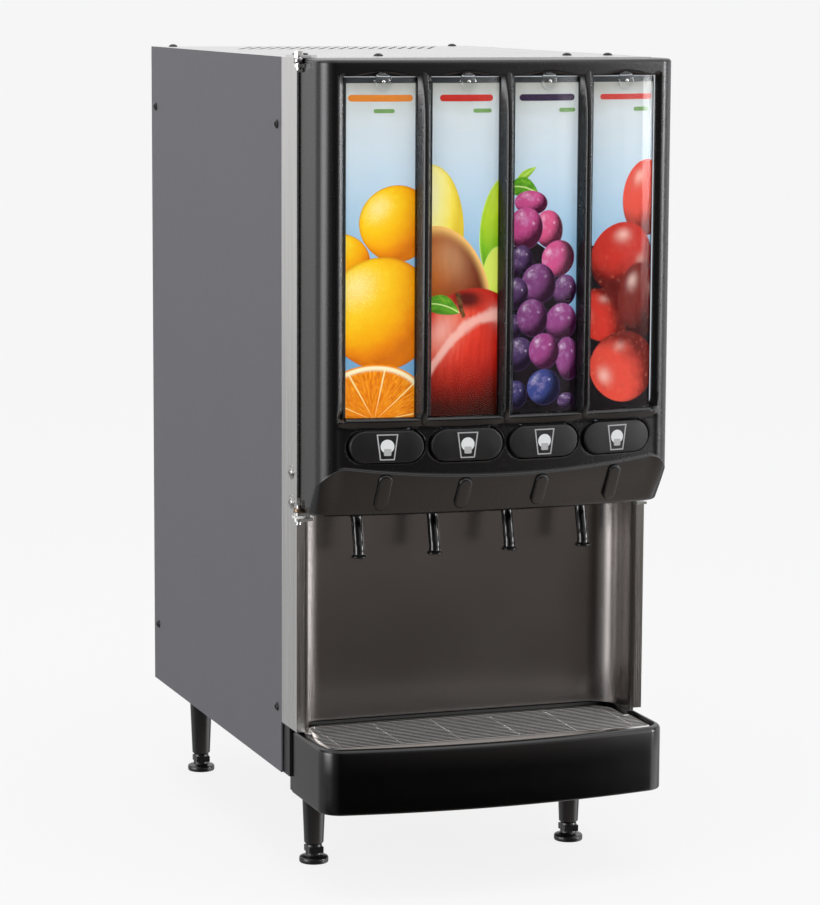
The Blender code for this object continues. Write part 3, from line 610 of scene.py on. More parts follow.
# ================================================================== door skin
def crease_z(x):
    """Height of the crease over the skirt; it drops beyond 164 mm from the middle."""
    a = abs(x)
    return 431.8 + 0.00040 * min(a, 164) ** 2 - 17.0 * (max(0.0, a - 164) / 25.0) ** 2.2


def sill_z(x):
    """Lower edge of the sill, which dips under each window."""
    nearest = min(WINDOWS, key=lambda w: abs(w - x))
    u = min(1.0, abs(x - nearest) / (WINDOW_PITCH / 2))
    return 482.3 + 2.9 * u ** 2.2


def skirt_back(x, z):
    """How far the skirt is set back at a height under the crease."""
    return 25.0 * clamp((crease_z(x) - z) / (crease_z(x) - DOOR_BOTTOM)) ** 1.06


def door_columns():
    """(zone, value) from the left rear edge round to the right rear edge.

    The value is a share of the depth on a side, a plan angle at a corner, X on the face.
    """
    shares = (0.0, 0.1, 0.2, 0.3, 0.45, 0.6, 0.7, 0.82, 0.94)
    angles = [180 + (CORNER_END - 180) * k / 14 for k in range(15)]
    marks = [-CORNER_X, -171.4, -169.5, -167.4, -166.2, -OPEN_X]
    margin = []
    for a, b in zip(marks, marks[1:]):
        n = max(1, round((b - a) / 1.6))
        margin += [a + (b - a) * k / n for k in range(n)]
    margin = margin[1:]                 # the first is the end of the corner
    middle = [-OPEN_X + 2 * OPEN_X * k / 214 for k in range(215)]
    columns = [("left_side", t) for t in shares]
    columns += [("left_corner", a) for a in angles]
    columns += [("face", x) for x in margin + middle + [-x for x in margin[::-1]]]
    columns += [("right_corner", a) for a in angles[::-1]]
    columns += [("right_side", t) for t in shares[::-1]]
    return columns


def door_plan(column, back):
    """Plan position and outward normal of a column when the face is set back."""
    zone, value = column
    cy = CORNER_Y + back
    if zone == "face":
        slope = value / BOW_RADIUS
        n = math.hypot(slope, 1.0)
        return value, bow(value) + back, slope / n, -1 / n
    side = -1 if zone.startswith("left") else 1
    if zone.endswith("side"):
        return side * DOOR_HALF, DOOR_REAR + (cy - DOOR_REAR) * value, side, 0.0
    a = math.radians(value)
    nx, ny = side * abs(math.cos(a)), math.sin(a)
    return side * (DOOR_HALF - DOOR_CORNER) + DOOR_CORNER * nx, cy + DOOR_CORNER * ny, nx, ny


def face_height(x, z):
    """How far the face stands out of its bowed plane."""
    a = abs(x)
    height = 0.0
    # upright chamfer beside the outer windows
    if a > OPEN_X - 0.1:
        zone = ease((z - 488.5) / 4.0) * (1 - ease((z - 829.0) / 4.0))
        height -= zone * 4.6 * clamp((171.8 - a) / (171.8 - OPEN_X)) ** 1.15
    # button field, a little below the surround
    low = sill_z(x)
    if z < 486:
        field = ease((low + 0.4 - z) / 1.2) * ease((z - crease_z(x) - 0.2) / 1.4)
        height -= 0.7 * field * (1 - ease((a - 168.5) / 5.0))
    # sill under the windows: a band that leans out, a crest and a lip
    if low - 0.2 <= z <= OPEN_Z0 + 1 and a < 174:
        if z <= SILL_CREST:
            out = -0.2 + 2.5 * max(0.0, (z - low) / (SILL_CREST - low))
        else:
            t = min(1.0, (z - SILL_CREST) / (OPEN_Z0 - SILL_CREST))
            out = 2.3 - 4.9 * (1 - math.sqrt(max(0.0, 1 - t * t))) - 0.5 * t
        height += out * (1 - ease((a - 169.5) / 3.5))
    # finger scoops over the windows
    if z > 828:
        for centre in WINDOWS:
            u = abs(x - centre) / 33.0
            top = 829.0 + 5.6 * (1 - u * u)
            if u < 1 and z < top:
                height -= 2.4 * min(1.0, (top - z) / 3.2) * ease((1 - u) / 0.12)
        if a < OPEN_X:
            height -= 0.9 * (1 - ease((z - 829.4) / 1.4))
    return height


# (height, inset) of the rolled lower and upper edges
DOOR_LOWER_EDGE = ((391.0, 9.0), (391.0, 3.2), (391.25, 1.9), (391.9, 0.8), (392.9, 0.2),
                   (394.2, 0.0))
DOOR_UPPER_EDGE = ((842.4, 0.0), (843.7, 0.25), (844.8, 0.95), (845.6, 2.0), (846.0, 3.6),
                   (846.0, 9.0))


def door_levels():
    """(height as a function of X, inset) of each row of the door, upwards."""
    def fixed(z):
        return lambda x: z

    def shifted(line, dz):
        return lambda x: line(x) + dz

    def between(low, high, t):
        return lambda x: low(x) * (1 - t) + high(x) * t
    lines = [between(fixed(394.2), crease_z, k / 16) for k in range(1, 16)]
    lines += [shifted(crease_z, dz) for dz in (-1.6, -0.9, -0.35, 0.0, 0.35, 0.9, 1.7)]
    lines += [between(shifted(crease_z, 1.7), fixed(447.0), k / 8) for k in range(1, 9)]
    lines += [fixed(448.5 + 1.5 * k) for k in range(22)]
    lines += [shifted(sill_z, dz) for dz in (-0.9, -0.3, 0.0, 0.3, 0.9)]
    lines += [between(shifted(sill_z, 0.9), fixed(SILL_CREST), t) for t in (0.3, 0.55, 0.8, 1.0)]
    lines += [fixed(z) for z in (490.3, 490.9, 491.5, 492.1, 492.6, 493.0, OPEN_Z0)]
    lines += [fixed(OPEN_Z0 + (OPEN_Z1 - OPEN_Z0) * k / 40) for k in range(1, 40)]
    lines += [fixed(z) for z in (OPEN_Z1, 830.0, 830.5, 831.0, 831.7, 832.4, 832.5, 833.2,
                                 834.0, 834.8, 836.0, 838.0, 840.5)]
    levels = [(fixed(z), inset) for z, inset in DOOR_LOWER_EDGE]
    levels += [(line, 0.0) for line in lines]
    levels += [(fixed(z), inset) for z, inset in DOOR_UPPER_EDGE]
    return levels


def door_rows():
    """Door levels with a flag for the hinge notches; a row is doubled where they end."""
    rows = []
    for line, inset in door_levels():
        z = line(-DOOR_HALF)
        notched = z > 832.45 or z < 402.5
        if rows and rows[-1][2] != notched:
            rows.append((line, inset, rows[-1][2]))
        rows.append((line, inset, notched))
    return rows


def door_point(column, line, inset, notched):
    zone = column[0]
    plan_x = door_plan(column, 0.0)[0]
    z = line(plan_x)
    below = crease_z(plan_x) - z
    back = 0.0
    if below > 0:
        back = skirt_back(plan_x, z)
        back -= 0.8 * ease(below / 0.9) * (1 - ease((below - 6) / 30.0))
    x, y, nx, ny = door_plan(column, back)
    out = -inset
    if zone == "face" and inset == 0.0 and below < 0.5:
        out = face_height(x, z)
    x, y = x + nx * out, y + ny * out
    notch_y = -14.6
    if notched and zone == "left_side" and y > notch_y:
        # the rear left corner goes round the hinge axis
        t = (y - notch_y) / (DOOR_REAR - notch_y)
        a = math.radians(-71.8 + (30.0 + 71.8) * t)
        x, y = HINGE_X + 8.0 * math.cos(a), HINGE_Y + 8.0 * math.sin(a)
    return x, y, z


def button_distance(x, z):
    """Signed distance to the nearest button hole, an obround."""
    half, r = 40.0, 16.9
    return min(math.hypot(max(abs(x - centre) - (half - r), 0.0), z - BUTTON_Z) - r
               for centre in FLAVOURS)


def snap_to_holes(columns, grid):
    """Pull the grid on to the outline of each button hole."""
    for line in grid:
        for (zone, _), vert in zip(columns, line):
            x, _, z = vert.co
            if zone != "face" or not 440 < z < 486:
                continue
            d = button_distance(x, z)
            if abs(d) < 0.95:
                e = 0.01
                # the second slope is taken at the X already moved
                vert.co.x -= (button_distance(x + e, z) - d) / e * d
                vert.co.z -= hole_slope_z(x, z, d, e) * d


def hole_slope_z(x, z, d, e):
    return (button_distance(x, z + e) - d) / e


def door_skin():
    columns = door_columns()
    bm = bmesh.new()
    grid = [[bm.verts.new(door_point(column, *row)) for column in columns]
            for row in door_rows()]
    snap_to_holes(columns, grid)
    for low, high in zip(grid, grid[1:]):
        for c in range(len(columns) - 1):
            quad = (low[c], low[c + 1], high[c + 1], high[c])
            x = sum(v.co.x for v in quad) / 4
            z = sum(v.co.z for v in quad) / 4
            if columns[c][0] == "face" and columns[c + 1][0] == "face":
                if abs(x) < OPEN_X and OPEN_Z0 < z < OPEN_Z1:
                    continue
                if 440 < z < 486 and button_distance(x, z) < 0.0:
                    continue
            bm.faces.new(quad)
    bm.faces.new(grid[0][::-1])
    bm.faces.new(grid[-1])
    bmesh.ops.remove_doubles(bm, verts=bm.verts, dist=0.002)
    skin = piece("door_skin", bm, DOOR, "door", "door_shell", smooth=38)
    mod = skin.modifiers.new("wall", "SOLIDIFY")
    mod.thickness = 0.0028
    mod.offset = -1.0
    mod.use_even_offset = False
    mod.use_quality_normals = True


# ================================================================== door trim
# (height, half width, crest in front of the bowed plane) of a bar between windows
BAR_STATIONS = (
    (485.2, 1.2, 0.2), (486.0, 3.0, 1.2), (487.2, 4.6, 2.2), (489.0, 5.8, 3.0),
    (491.0, 6.4, 3.7), (494.0, 6.8, 5.4), (500, 6.9, 7.0), (600, 6.9, 7.6), (720, 6.9, 7.6),
    (780, 6.9, 7.5), (796, 6.9, 6.9), (808, 6.9, 5.6), (816, 6.9, 4.1), (822, 6.9, 2.7),
    (826, 7.0, 1.7), (829, 7.1, 0.9), (831, 7.1, 0.45), (833, 7.1, 0.1), (835, 7.0, -0.4))


def bar_ring(centre, z, reach, half, crest):
    """Section of a bar: sloping flanks that run into a gently rounded crest."""
    softness = 0.08
    points = []
    for k in range(29):
        s = -math.cos(math.pi * k / 28)
        u = abs(s)
        flank, crown = (1.0 - u) / 0.64, 1.0 - 0.05 * u * u
        f = -softness * math.log(math.exp(-flank / softness) + math.exp(-crown / softness))
        points.append((centre + half * s, bow(centre) + reach - (reach + crest) * clamp(f), z))
    rear = bow(centre) + 10.5
    return points + [(centre + half, rear, z), (centre - half, rear, z)]


def skirt_rib(bm, centre):
    """Raised obround that lies up the skirt over a spout."""
    radius = 7.0
    top, bottom = crease_z(centre) - 1.5, 398.5
    a = Vector((0, bow(centre) + skirt_back(centre, bottom), bottom))
    b = Vector((0, bow(centre) + skirt_back(centre, top), top))
    axis = (b - a).normalized()
    out = Vector((0, -axis.z, axis.y))
    middle = (a + b) / 2 + Vector((centre, 0, 0))
    half = (b - a).length / 2
    rings = []
    for inset, lift in ((0.0, -3.0), (0.0, 2.3), (0.25, 3.0), (0.7, 3.5), (1.4, 3.85),
                        (2.3, 3.95)):
        ring = []
        for end, start in ((half - radius, -90), (radius - half, 90)):
            for along, across in arc(end, 0, radius - inset, start, start + 180, 12):
                sweep = Vector((across, bow(centre + across) - bow(centre), 0))
                ring.append(tuple(middle + axis * along + sweep + out * lift))
        rings.append(ring)
    loft(bm, rings)


def button_outline(centre, half, r):
    """Obround outline in (X, Z), clockwise from its left end."""
    n, m = 12, 8
    turns = [math.radians(90 * k / n) for k in range(n + 1)]
    left, right = centre - half + r, centre + half - r
    upper = [(left - r * math.cos(t), BUTTON_Z + r * math.sin(t)) for t in turns]
    upper += [(left + 2 * (half - r) * k / m, BUTTON_Z + r) for k in range(1, m)]
    upper += [(right + r * math.sin(t), BUTTON_Z + r * math.cos(t)) for t in turns]
    return upper + [(x, 2 * BUTTON_Z - z) for x, z in upper[-2:0:-1]]


# (half length, end radius, depth behind the bowed plane) round a button bezel
BEZEL_PROFILE = ((40.9, 17.35, 0.55), (40.5, 17.25, 0.35), (39.9, 17.15, 0.55),
                 (38.9, 17.0, 1.6), (38.3, 16.9, 3.0), (38.2, 16.85, 8.0), (39.6, 17.5, 8.0),
                 (40.7, 17.5, 2.2))


def door_trim():
    bm = bmesh.new()
    for k in (-1, 0, 1):
        loft(bm, [bar_ring(k * WINDOW_PITCH, z, 2.4 if z < 835 else 1.6, half, crest)
                  for z, half, crest in BAR_STATIONS])
    for centre in FLAVOURS:
        skirt_rib(bm, centre)
    for centre in FLAVOURS:
        loft(bm, [[(x, bow(x) + depth, z) for x, z in button_outline(centre, half, r)]
                  for half, r, depth in BEZEL_PROFILE], closed_profile=True)
    piece("door_trim", bm, DOOR, "door", smooth=40)


# ================================================================== buttons
def push_pad(n, centre):
    half, r = 37.2, 16.1
    bm = bmesh.new()
    rings = []
    for inset, lift in ((0.0, -7.5), (0.0, 1.7), (0.15, 2.3), (0.5, 2.85), (1.1, 3.2),
                        (1.9, PAD_LIFT)):
        outline = button_outline(centre, half - inset, r - inset)
        rings.append([(x, bow(x) - lift, z) for x, z in outline])
    rows = loft(bm, rings, cap=False)
    bm.faces.new(rows[0][::-1])
    # upright strips close the face, so that it keeps its bow
    edge = rows[-1]
    k = (len(edge) + 2) // 2
    upper = edge[:k]
    lower = [edge[0]] + edge[:k - 1:-1] + [edge[k - 1]]
    for i in range(k - 1):
        corners = (upper[i], upper[i + 1], lower[i + 1], lower[i])
        bm.faces.new(list(dict.fromkeys(corners)))
    # stem behind the pad
    stem_end = -67.6 - bow(centre)
    lathe(bm, [(0, 4), (3.5, 4), (3.5, stem_end), (0, stem_end)],
          (centre, bow(centre), BUTTON_Z), "y", 20)
    piece(f"push_pad_{n}", bm, PAD, f"button_{n}", f"push_button_{n}",
          smooth=40)


def cup_sign(n, centre):
    """Printed sign: the outline of a cup round a disc, and a small patch under the disc."""
    bm = bmesh.new()

    def sheet(outline, lift=0.10, mat=0):
        """A thin printed patch that follows the pad's face."""
        loft(bm, [[(centre + x, bow(centre + x) - PAD_LIFT - up, z) for x, z in outline]
                  for up in (-0.06, lift)], mat=mat)
    top_half, bottom_half, bottom, top, line = 10.9, 7.4, 451.2, 477.2, 1.15
    outer = [(-top_half, top), (top_half, top), (bottom_half, bottom), (-bottom_half, bottom)]
    top_in, bottom_in = top_half - 1.25 * line, bottom_half - 0.9 * line
    inner = [(-top_in, top - line), (top_in, top - line), (bottom_in, bottom + line),
             (-bottom_in, bottom + line)]
    for i in range(4):
        j = (i + 1) % 4
        sheet([outer[i], outer[j], inner[j], inner[i]])
    sheet([(x, 465.0 + z) for x, z, _ in circle(6.9, 0, 40)], lift=0.11, mat=1)
    sheet([(-2.9, 462.6), (3.3, 462.6), (4.0, 461.6), (4.0, 456.6), (3.2, 455.6),
           (-2.8, 455.6), (-3.6, 456.6), (-3.6, 461.8)], lift=0.13, mat=2)
    piece(f"cup_sign_{n}", bm, [SIGN, SIGN_DISC, SIGN], f"button_{n}",
          smooth=30)


# ================================================================== windows
LENS_THICK = 1.7


def lens_y(centre, x):
    """Front face of a window lens, which is hollow across its width."""
    return bow(x) + 4.6 * ((x - centre) / 35.7) ** 2


def clear_window(n, centre):
    z0, z1, half, corner = 489.6, 828.9, 35.6, 3.0
    offsets = [0.3, 0.9, 1.8, 3.0]      # extra columns at the rounded corners
    xs = [centre - half + 2 * half * k / 26 for k in range(27)]
    xs += [centre - half + q for q in offsets] + [centre + half - q for q in offsets]
    bm = bmesh.new()
    columns = []
    for x in sorted(xs):
        edge = half - abs(x - centre)
        cut = 0.0
        if edge < corner:
            cut = corner - math.sqrt(max(0.0, corner ** 2 - (corner - edge) ** 2))
        front = lens_y(centre, x)
        columns.append([bm.verts.new((x, y, z)) for y in (front, front + LENS_THICK)
                        for z in (z0 + cut, z1 - cut)])
    bent_sheet(bm, *zip(*columns))
    bm.normal_update()
    for face in bm.faces:
        if abs(face.normal.y) < 0.6:
            face.material_index = 1
    piece(f"clear_window_{n}", bm, [CLEAR, LENS_EDGE], f"window_{n}",
          f"window_lens_{n}")


def finger_tab(n, centre):
    """A clear dome with a small bright eyelet."""
    bm = bmesh.new()
    at = Vector((centre + 1.0, lens_y(centre, centre) - 0.05, 824.6))
    lathe(bm, [(0, -1.9), (2.0, -1.88), (4.4, -1.6), (6.8, -1.05), (8.5, -0.35), (9.2, 0.25),
               (9.3, 0.6), (0, 0.6)], at, "y", 48)
    lathe(bm, [(0, -2.5), (0.9, -2.45), (1.5, -2.2), (1.8, -1.7), (1.8, -1.2), (0, -1.2)],
          at, "y", 20, mat=1)
    piece(f"finger_tab_{n}", bm, [CLEAR_TAB, CHROME], f"window_{n}",
          smooth=40)


# ================================================================== picture inks
# Each ink colours a patch from its "loc" attribute: u and v run from -1 to 1 over the
# patch's own shape, and seed varies one patch from the next.
def local(net):
    """The attribute as a vector, then u, v and seed."""
    loc = Wire(net, net.node("ShaderNodeAttribute", attribute_name="loc").outputs["Vector"])
    return (loc, *net.split(loc))


def sphere(net, u, v):
    """A sphere over its own disc: diffuse light 0-1, facing 0-1 and normal."""
    facing = net.math("SQRT", net.math("MAXIMUM", 1.0 - (u * u + v * v), 0.0))
    normal = net.join(u, v, facing)
    lit = net.vector("DOT_PRODUCT", normal, (-0.50, 0.55, 0.67))
    return net.math("MAXIMUM", lit, 0.0), facing, normal


def shine(net, normal, towards, power, amount):
    towards = tuple(Vector(towards).normalized())
    lit = net.math("MAXIMUM", net.vector("DOT_PRODUCT", normal, towards), 0.0)
    return lit ** power * amount


def mottle(net, loc):
    return net.noise(loc, 3.4)


def seeded(net, loc, x, y, z):
    return net.vector("ADD", loc, net.join(x, y, z))


def ink_sky(net):
    height = net.split(net.coords())[2].lin(0.490, 0.823)
    soft = net.noise(net.coords(), 22.0, detail=3.0, rough=0.55)
    return net.ramp(height + (soft - 0.5) * 0.10, (0.0, 96, 152, 198), (0.50, 146, 188, 216),
                    (0.70, 192, 214, 230), (0.80, 206, 220, 229), (0.90, 212, 220, 224),
                    (0.955, 200, 205, 203), (1.0, 172, 172, 164))


def ink_orange(net):
    loc, u, v, _ = local(net)
    lit, facing, normal = sphere(net, u, v)
    peel = net.voronoi(net.vector("MULTIPLY", normal, (1, 1, 1)), 26.0)
    soft = net.noise(loc, 3.2)
    col = net.ramp(lit * 0.80 + soft * 0.22 + (peel - 0.35) * 0.22, (0.0, 196, 88, 2),
                   (0.32, 238, 138, 3), (0.60, 252, 180, 5), (0.85, 255, 208, 30),
                   (1.0, 255, 226, 96))
    col = net.mix(facing.step(0.0, 0.42), net.mix(0.55, col, srgb(190, 92, 10)), col)
    hot = shine(net, normal, (-0.42, 0.50, 0.75), power=22.0, amount=0.40)
    return net.mix(hot, col, srgb(255, 246, 190))


def ink_slice(net):
    _, u, v, seed = local(net)
    r = net.vector("LENGTH", net.join(u, v, 0.0))
    angle = net.math("ARCTAN2", v, u)
    pulp = net.noise(net.join(angle * 9.0, r * 2.2, seed), 4.0, rough=0.65)
    rib = abs(net.math("SINE", angle * 5.0))
    col = net.ramp(pulp, (0.30, 206, 86, 4), (0.50, 238, 132, 10), (0.68, 252, 178, 40),
                   (0.8, 255, 220, 120))
    col = net.mix(rib.step(0.14, 0.02), col, srgb(255, 226, 150))
    col = net.mix(r.step(0.86, 0.93), col, srgb(255, 240, 196))
    return net.mix(r.step(0.955, 0.985), col, srgb(244, 150, 20))


def ink_yellow(net):
    loc, u, v, _ = local(net)
    lit, facing, normal = sphere(net, u, v)
    col = net.ramp(lit * 0.8 + net.noise(loc, 4.0) * 0.25, (0.0, 214, 176, 30),
                   (0.35, 246, 222, 80), (0.65, 253, 242, 150), (1.0, 255, 250, 205))
    col = net.mix(facing.step(0.0, 0.35), net.mix(0.4, col, srgb(190, 170, 40)), col)
    hot = shine(net, normal, (-0.3, 0.4, 0.85), power=16.0, amount=0.35)
    return net.mix(hot, col, srgb(255, 255, 230))


def ink_mango(net):
    loc, u, v, seed = local(net)
    lit, facing, normal = sphere(net, u, v)
    soft = net.noise(loc, 2.6)
    polar = net.join(net.math("ARCTAN2", v, u) * 16.0,
                     net.vector("LENGTH", net.join(u, v, 0.0)), seed)
    streak = net.noise(polar, 2.0, rough=0.7)
    col = net.ramp((lit * 0.75 + soft * 0.30) * 0.72 + streak * 0.26, (0.0, 48, 14, 2),
                   (0.35, 108, 36, 8), (0.60, 150, 66, 18), (0.85, 206, 112, 34),
                   (1.0, 236, 166, 76))
    edge = facing.step(0.62, 0.20) * (u + v).step(0.1, 0.9)
    col = net.mix(edge, col, srgb(244, 190, 110))
    dots = net.voronoi(loc, 13.0)
    col = net.mix(dots.step(0.09, 0.04) * 0.6, col, srgb(240, 150, 70))
    hot = shine(net, normal, (0.30, 0.55, 0.78), power=14.0, amount=0.26)
    return net.mix(hot, col, srgb(255, 214, 160))


def ink_shade(net):
    return net.ramp(net.noise(net.coords(), 60.0, detail=3.0, rough=0.5), (0.3, 10, 8, 11),
                    (0.7, 26, 17, 22))


def ink_lime(net):
    loc, u, v, seed = local(net)
    lit, facing, _ = sphere(net, u, v)
    col = net.ramp(lit * 0.75 + mottle(net, loc) * 0.3 + (seed - 0.5) * 0.5,
                   (0.1, 74, 140, 20), (0.45, 120, 184, 30), (0.75, 182, 214, 40),
                   (1.0, 220, 234, 96))
    return net.mix(facing.step(0.40, 0.10), col, srgb(208, 232, 110))


def ink_apple(net):
    loc, u, v, seed = local(net)
    lit, _, normal = sphere(net, u, v)
    streak = net.noise(net.join(u * 7.0, v * 1.4, seed), 2.0)
    dots = net.voronoi(loc, 15.0)
    col = net.ramp(lit * 0.72 + streak * 0.34, (0.0, 40, 6, 2), (0.30, 112, 14, 6),
                   (0.55, 180, 26, 14), (0.80, 220, 56, 36), (1.0, 244, 124, 90))
    under = v.step(0.30, -0.62) * mottle(net, loc).lin(0.2, 0.8, 0.82, 1.0)
    col = net.mix(under, col, srgb(34, 12, 4))
    col = net.mix(dots.step(0.10, 0.04) * 0.7, col, srgb(236, 96, 60))
    # the hollow round the stalk, and the broad band of light on the shoulder
    from_stalk = net.vector("SUBTRACT", loc, (-0.16, 0.86, 0.0))
    well = net.vector("LENGTH", net.vector("MULTIPLY", from_stalk, (1.0, 2.2, 0.0)))
    col = net.mix(well.step(0.40, 0.08), col, srgb(86, 14, 8))
    arch = v + (u - 0.28) * (u - 0.28) * 0.75 - 0.66
    wobble = (mottle(net, loc) - 0.5) * 0.16
    band = abs(arch + wobble).step(0.12, 0.03) * (u.step(0.62, 0.20) * 0.75)
    col = net.mix(band, col, srgb(250, 196, 182))
    hot = (shine(net, normal, (-0.55, 0.45, 0.70), power=30.0, amount=0.45)
           + shine(net, normal, (0.42, 0.66, 0.62), power=60.0, amount=0.35))
    return net.mix(hot, col, srgb(255, 214, 200))


def ink_grape(net):
    loc, u, v, seed = local(net)
    lit, facing, normal = sphere(net, u, v)
    bloom = net.noise(seeded(net, loc, seed, seed, seed), 2.4, rough=0.65)
    tone = net.ramp(seed, (0.0, 214, 84, 130), (0.15, 186, 70, 134), (0.35, 140, 62, 124),
                    (0.55, 98, 56, 104), (0.78, 66, 50, 92), (1.0, 52, 66, 128))
    deep = net.mix(1.0, tone, (0.10, 0.05, 0.09, 1.0), "MULTIPLY")
    pale = net.mix(0.46, tone, srgb(214, 186, 222))
    skin = net.noise(seeded(net, loc, seed, 1.3, seed), 6.5, detail=5.0, rough=0.7)
    col = net.mix((lit + (skin - 0.5) * 0.5).step(0.02, 0.72), deep, tone)
    col = net.mix(bloom.step(0.45, 0.75) * lit.step(0.3, 1.0), col, pale)
    col = net.mix(facing.step(0.30, 0.10) * 0.45, col, net.mix(0.5, tone, srgb(150, 110, 190)))
    hot = (shine(net, normal, (-0.38, 0.62, 0.68), power=42.0, amount=0.55)
           + shine(net, normal, (0.42, 0.30, 0.86), power=420.0, amount=0.7))
    return net.mix(hot * skin.step(0.34, 0.58), col, srgb(246, 232, 250))


def ink_leaf(net):
    loc, u, v, seed = local(net)
    vein = abs(v)
    side_veins = abs(net.math("SINE", u * 16.0 + vein * 9.0))
    col = net.ramp(net.noise(loc, 3.0) * 0.7 + seed * 0.5, (0.2, 32, 96, 20),
                   (0.5, 84, 156, 30), (0.8, 160, 206, 56), (1.0, 204, 230, 110))
    col = net.mix(vein.step(0.10, 0.02), col, srgb(206, 230, 140))
    col = net.mix(side_veins.step(0.22, 0.04) * 0.35, col, srgb(190, 220, 120))
    return net.mix(v.step(-0.1, -0.9) * 0.45, col, srgb(20, 70, 14))


def ink_berry(net):
    loc, u, v, seed = local(net)
    lit, _, normal = sphere(net, u, v)
    soft = net.noise(seeded(net, loc, seed, seed, seed), 2.6, detail=5.0, rough=0.65)
    fleck = net.noise(loc, 11.0, detail=3.0)
    tone = net.ramp(seed, (0.0, 232, 84, 66), (0.35, 206, 48, 36), (0.65, 150, 30, 24),
                    (1.0, 92, 26, 20))
    deep = net.mix(1.0, tone, (0.18, 0.10, 0.10, 1.0), "MULTIPLY")
    col = net.mix((lit + (soft - 0.5) * 0.6).step(0.0, 0.70), deep, tone)
    col = net.mix(fleck.step(0.56, 0.72) * 0.40, col, net.mix(0.5, tone, srgb(250, 170, 130)))
    spots = net.noise(seeded(net, loc, 2.0, seed, 1.0), 7.0, detail=5.0, rough=0.7)
    col = net.mix(spots.step(0.60, 0.70) * 0.65, col, srgb(58, 18, 14))
    hot = (shine(net, normal, (-0.35, 0.55, 0.75), power=36.0, amount=0.55)
           + shine(net, normal, (0.55, 0.25, 0.80), power=70.0, amount=0.3))
    return net.mix(hot, col, srgb(255, 220, 206))


def ink_stem(net):
    return net.ramp(net.noise(local(net)[0], 9.0, rough=0.5), (0.3, 54, 30, 14),
                    (0.7, 128, 84, 44))


def plain_ink(*colour):
    def build(net):
        full = srgb(*colour)
        dim = tuple(0.93 * c for c in full[:3]) + (1.0,)
        cloud = net.noise(net.coords(), 300.0, detail=3.0, rough=0.5)
        return net.mix(cloud.lin(0.3, 0.7), dim, full)
    return build


def ink_material(name, build):
    """A picture ink, lit partly by its own emission."""
    material, net, surface = new_material(name)
    colour = build(net)
    surface("Base Color", net.mix(1.0, colour, (0.52, 0.52, 0.52, 1.0), "MULTIPLY"))
    surface("Emission Color", colour)
    surface("Emission Strength", 0.53)
    surface("Roughness", 0.55)
    surface("Specular IOR Level", 0.05)
    grain = net.noise(net.coords(), 1500.0, detail=3.0, rough=0.5)
    surface("Normal", net.bump(grain, 0.1, 3e-5))
    return material


INKS = {name: ink_material(f"picture_{name}", build) for name, build in {
    "sky": ink_sky, "orange": ink_orange, "slice": ink_slice, "yellow": ink_yellow,
    "mango": ink_mango, "apple": ink_apple, "grape": ink_grape, "leaf": ink_leaf,
    "berry": ink_berry, "stem": ink_stem, "shade": ink_shade, "lime": ink_lime,
    "band_1": plain_ink(222, 132, 52), "band_2": plain_ink(196, 52, 44),
    "band_3": plain_ink(58, 44, 70), "band_4": plain_ink(206, 72, 66),
    "band_green": plain_ink(120, 160, 96)}.items()}


# ================================================================== picture cards
# A patch is (ink, outline, loc function). Both use X from the card's middle and Z.
def turned(x, z, along, across, angle):
    c, s = math.cos(angle), math.sin(angle)
    return x + along * c - across * s, z + along * s + across * c


def fruit(ink, x, z, rx, rz, turn, seed, squash=0.0):
    """An ellipse turned in degrees; squash widens its upper half."""
    angle = math.radians(turn)
    outline = [turned(x, z, rx * c * (1.0 + squash * s), rz * s, angle)
               for c, s, _ in circle(1, 0, 56)]

    def loc(px, pz):
        a, b = turned(0, 0, px - x, pz - z, -angle)
        b /= rz
        return a / rx / (1.0 + squash * max(-1.0, min(1.0, b))), b, seed
    return ink, outline, loc


def leaf(x, z, length, width, turn, seed, bend):
    """A pointed, bent leaf turned in degrees."""
    angle = math.radians(turn)
    n = 22
    outline = []
    for side, ks in ((1, range(n + 1)), (-1, range(n - 1, 0, -1))):
        for s in (k / n for k in ks):
            w = side * width * 0.5 * math.sin(math.pi * s) ** 0.8 * (1 - 0.25 * s)
            w += bend * length * math.sin(math.pi * s)
            outline.append(turned(x, z, (s - 0.5) * length, w, angle))

    def loc(px, pz):
        a, b = turned(0, 0, px - x, pz - z, -angle)
        b -= bend * length * math.sin(math.pi * clamp(a / length + 0.5))
        return 2 * a / length, 2 * b / width, seed
    return "leaf", outline, loc


def flat(ink, outline, seed=0.0):
    return ink, outline, lambda px, pz: (px / 35.0, (pz - 650) / 35.0, seed)


def bands(n, x, half, r, green_x, green_half):
    """The wide band over a picture and the small green one under it."""
    def pill(x, z, half, r):
        return arc(x + half - r, z, r, -90, 90, 8) + arc(x - half + r, z, r, 90, 270, 8)
    return [flat(f"band_{n}", pill(x, 808.5, half, r)),
            flat("band_green", pill(green_x, 796.0, green_half, 2.0))]


FOOT_Z = 489.0                  # lower end of the dark patches, under the card's edge

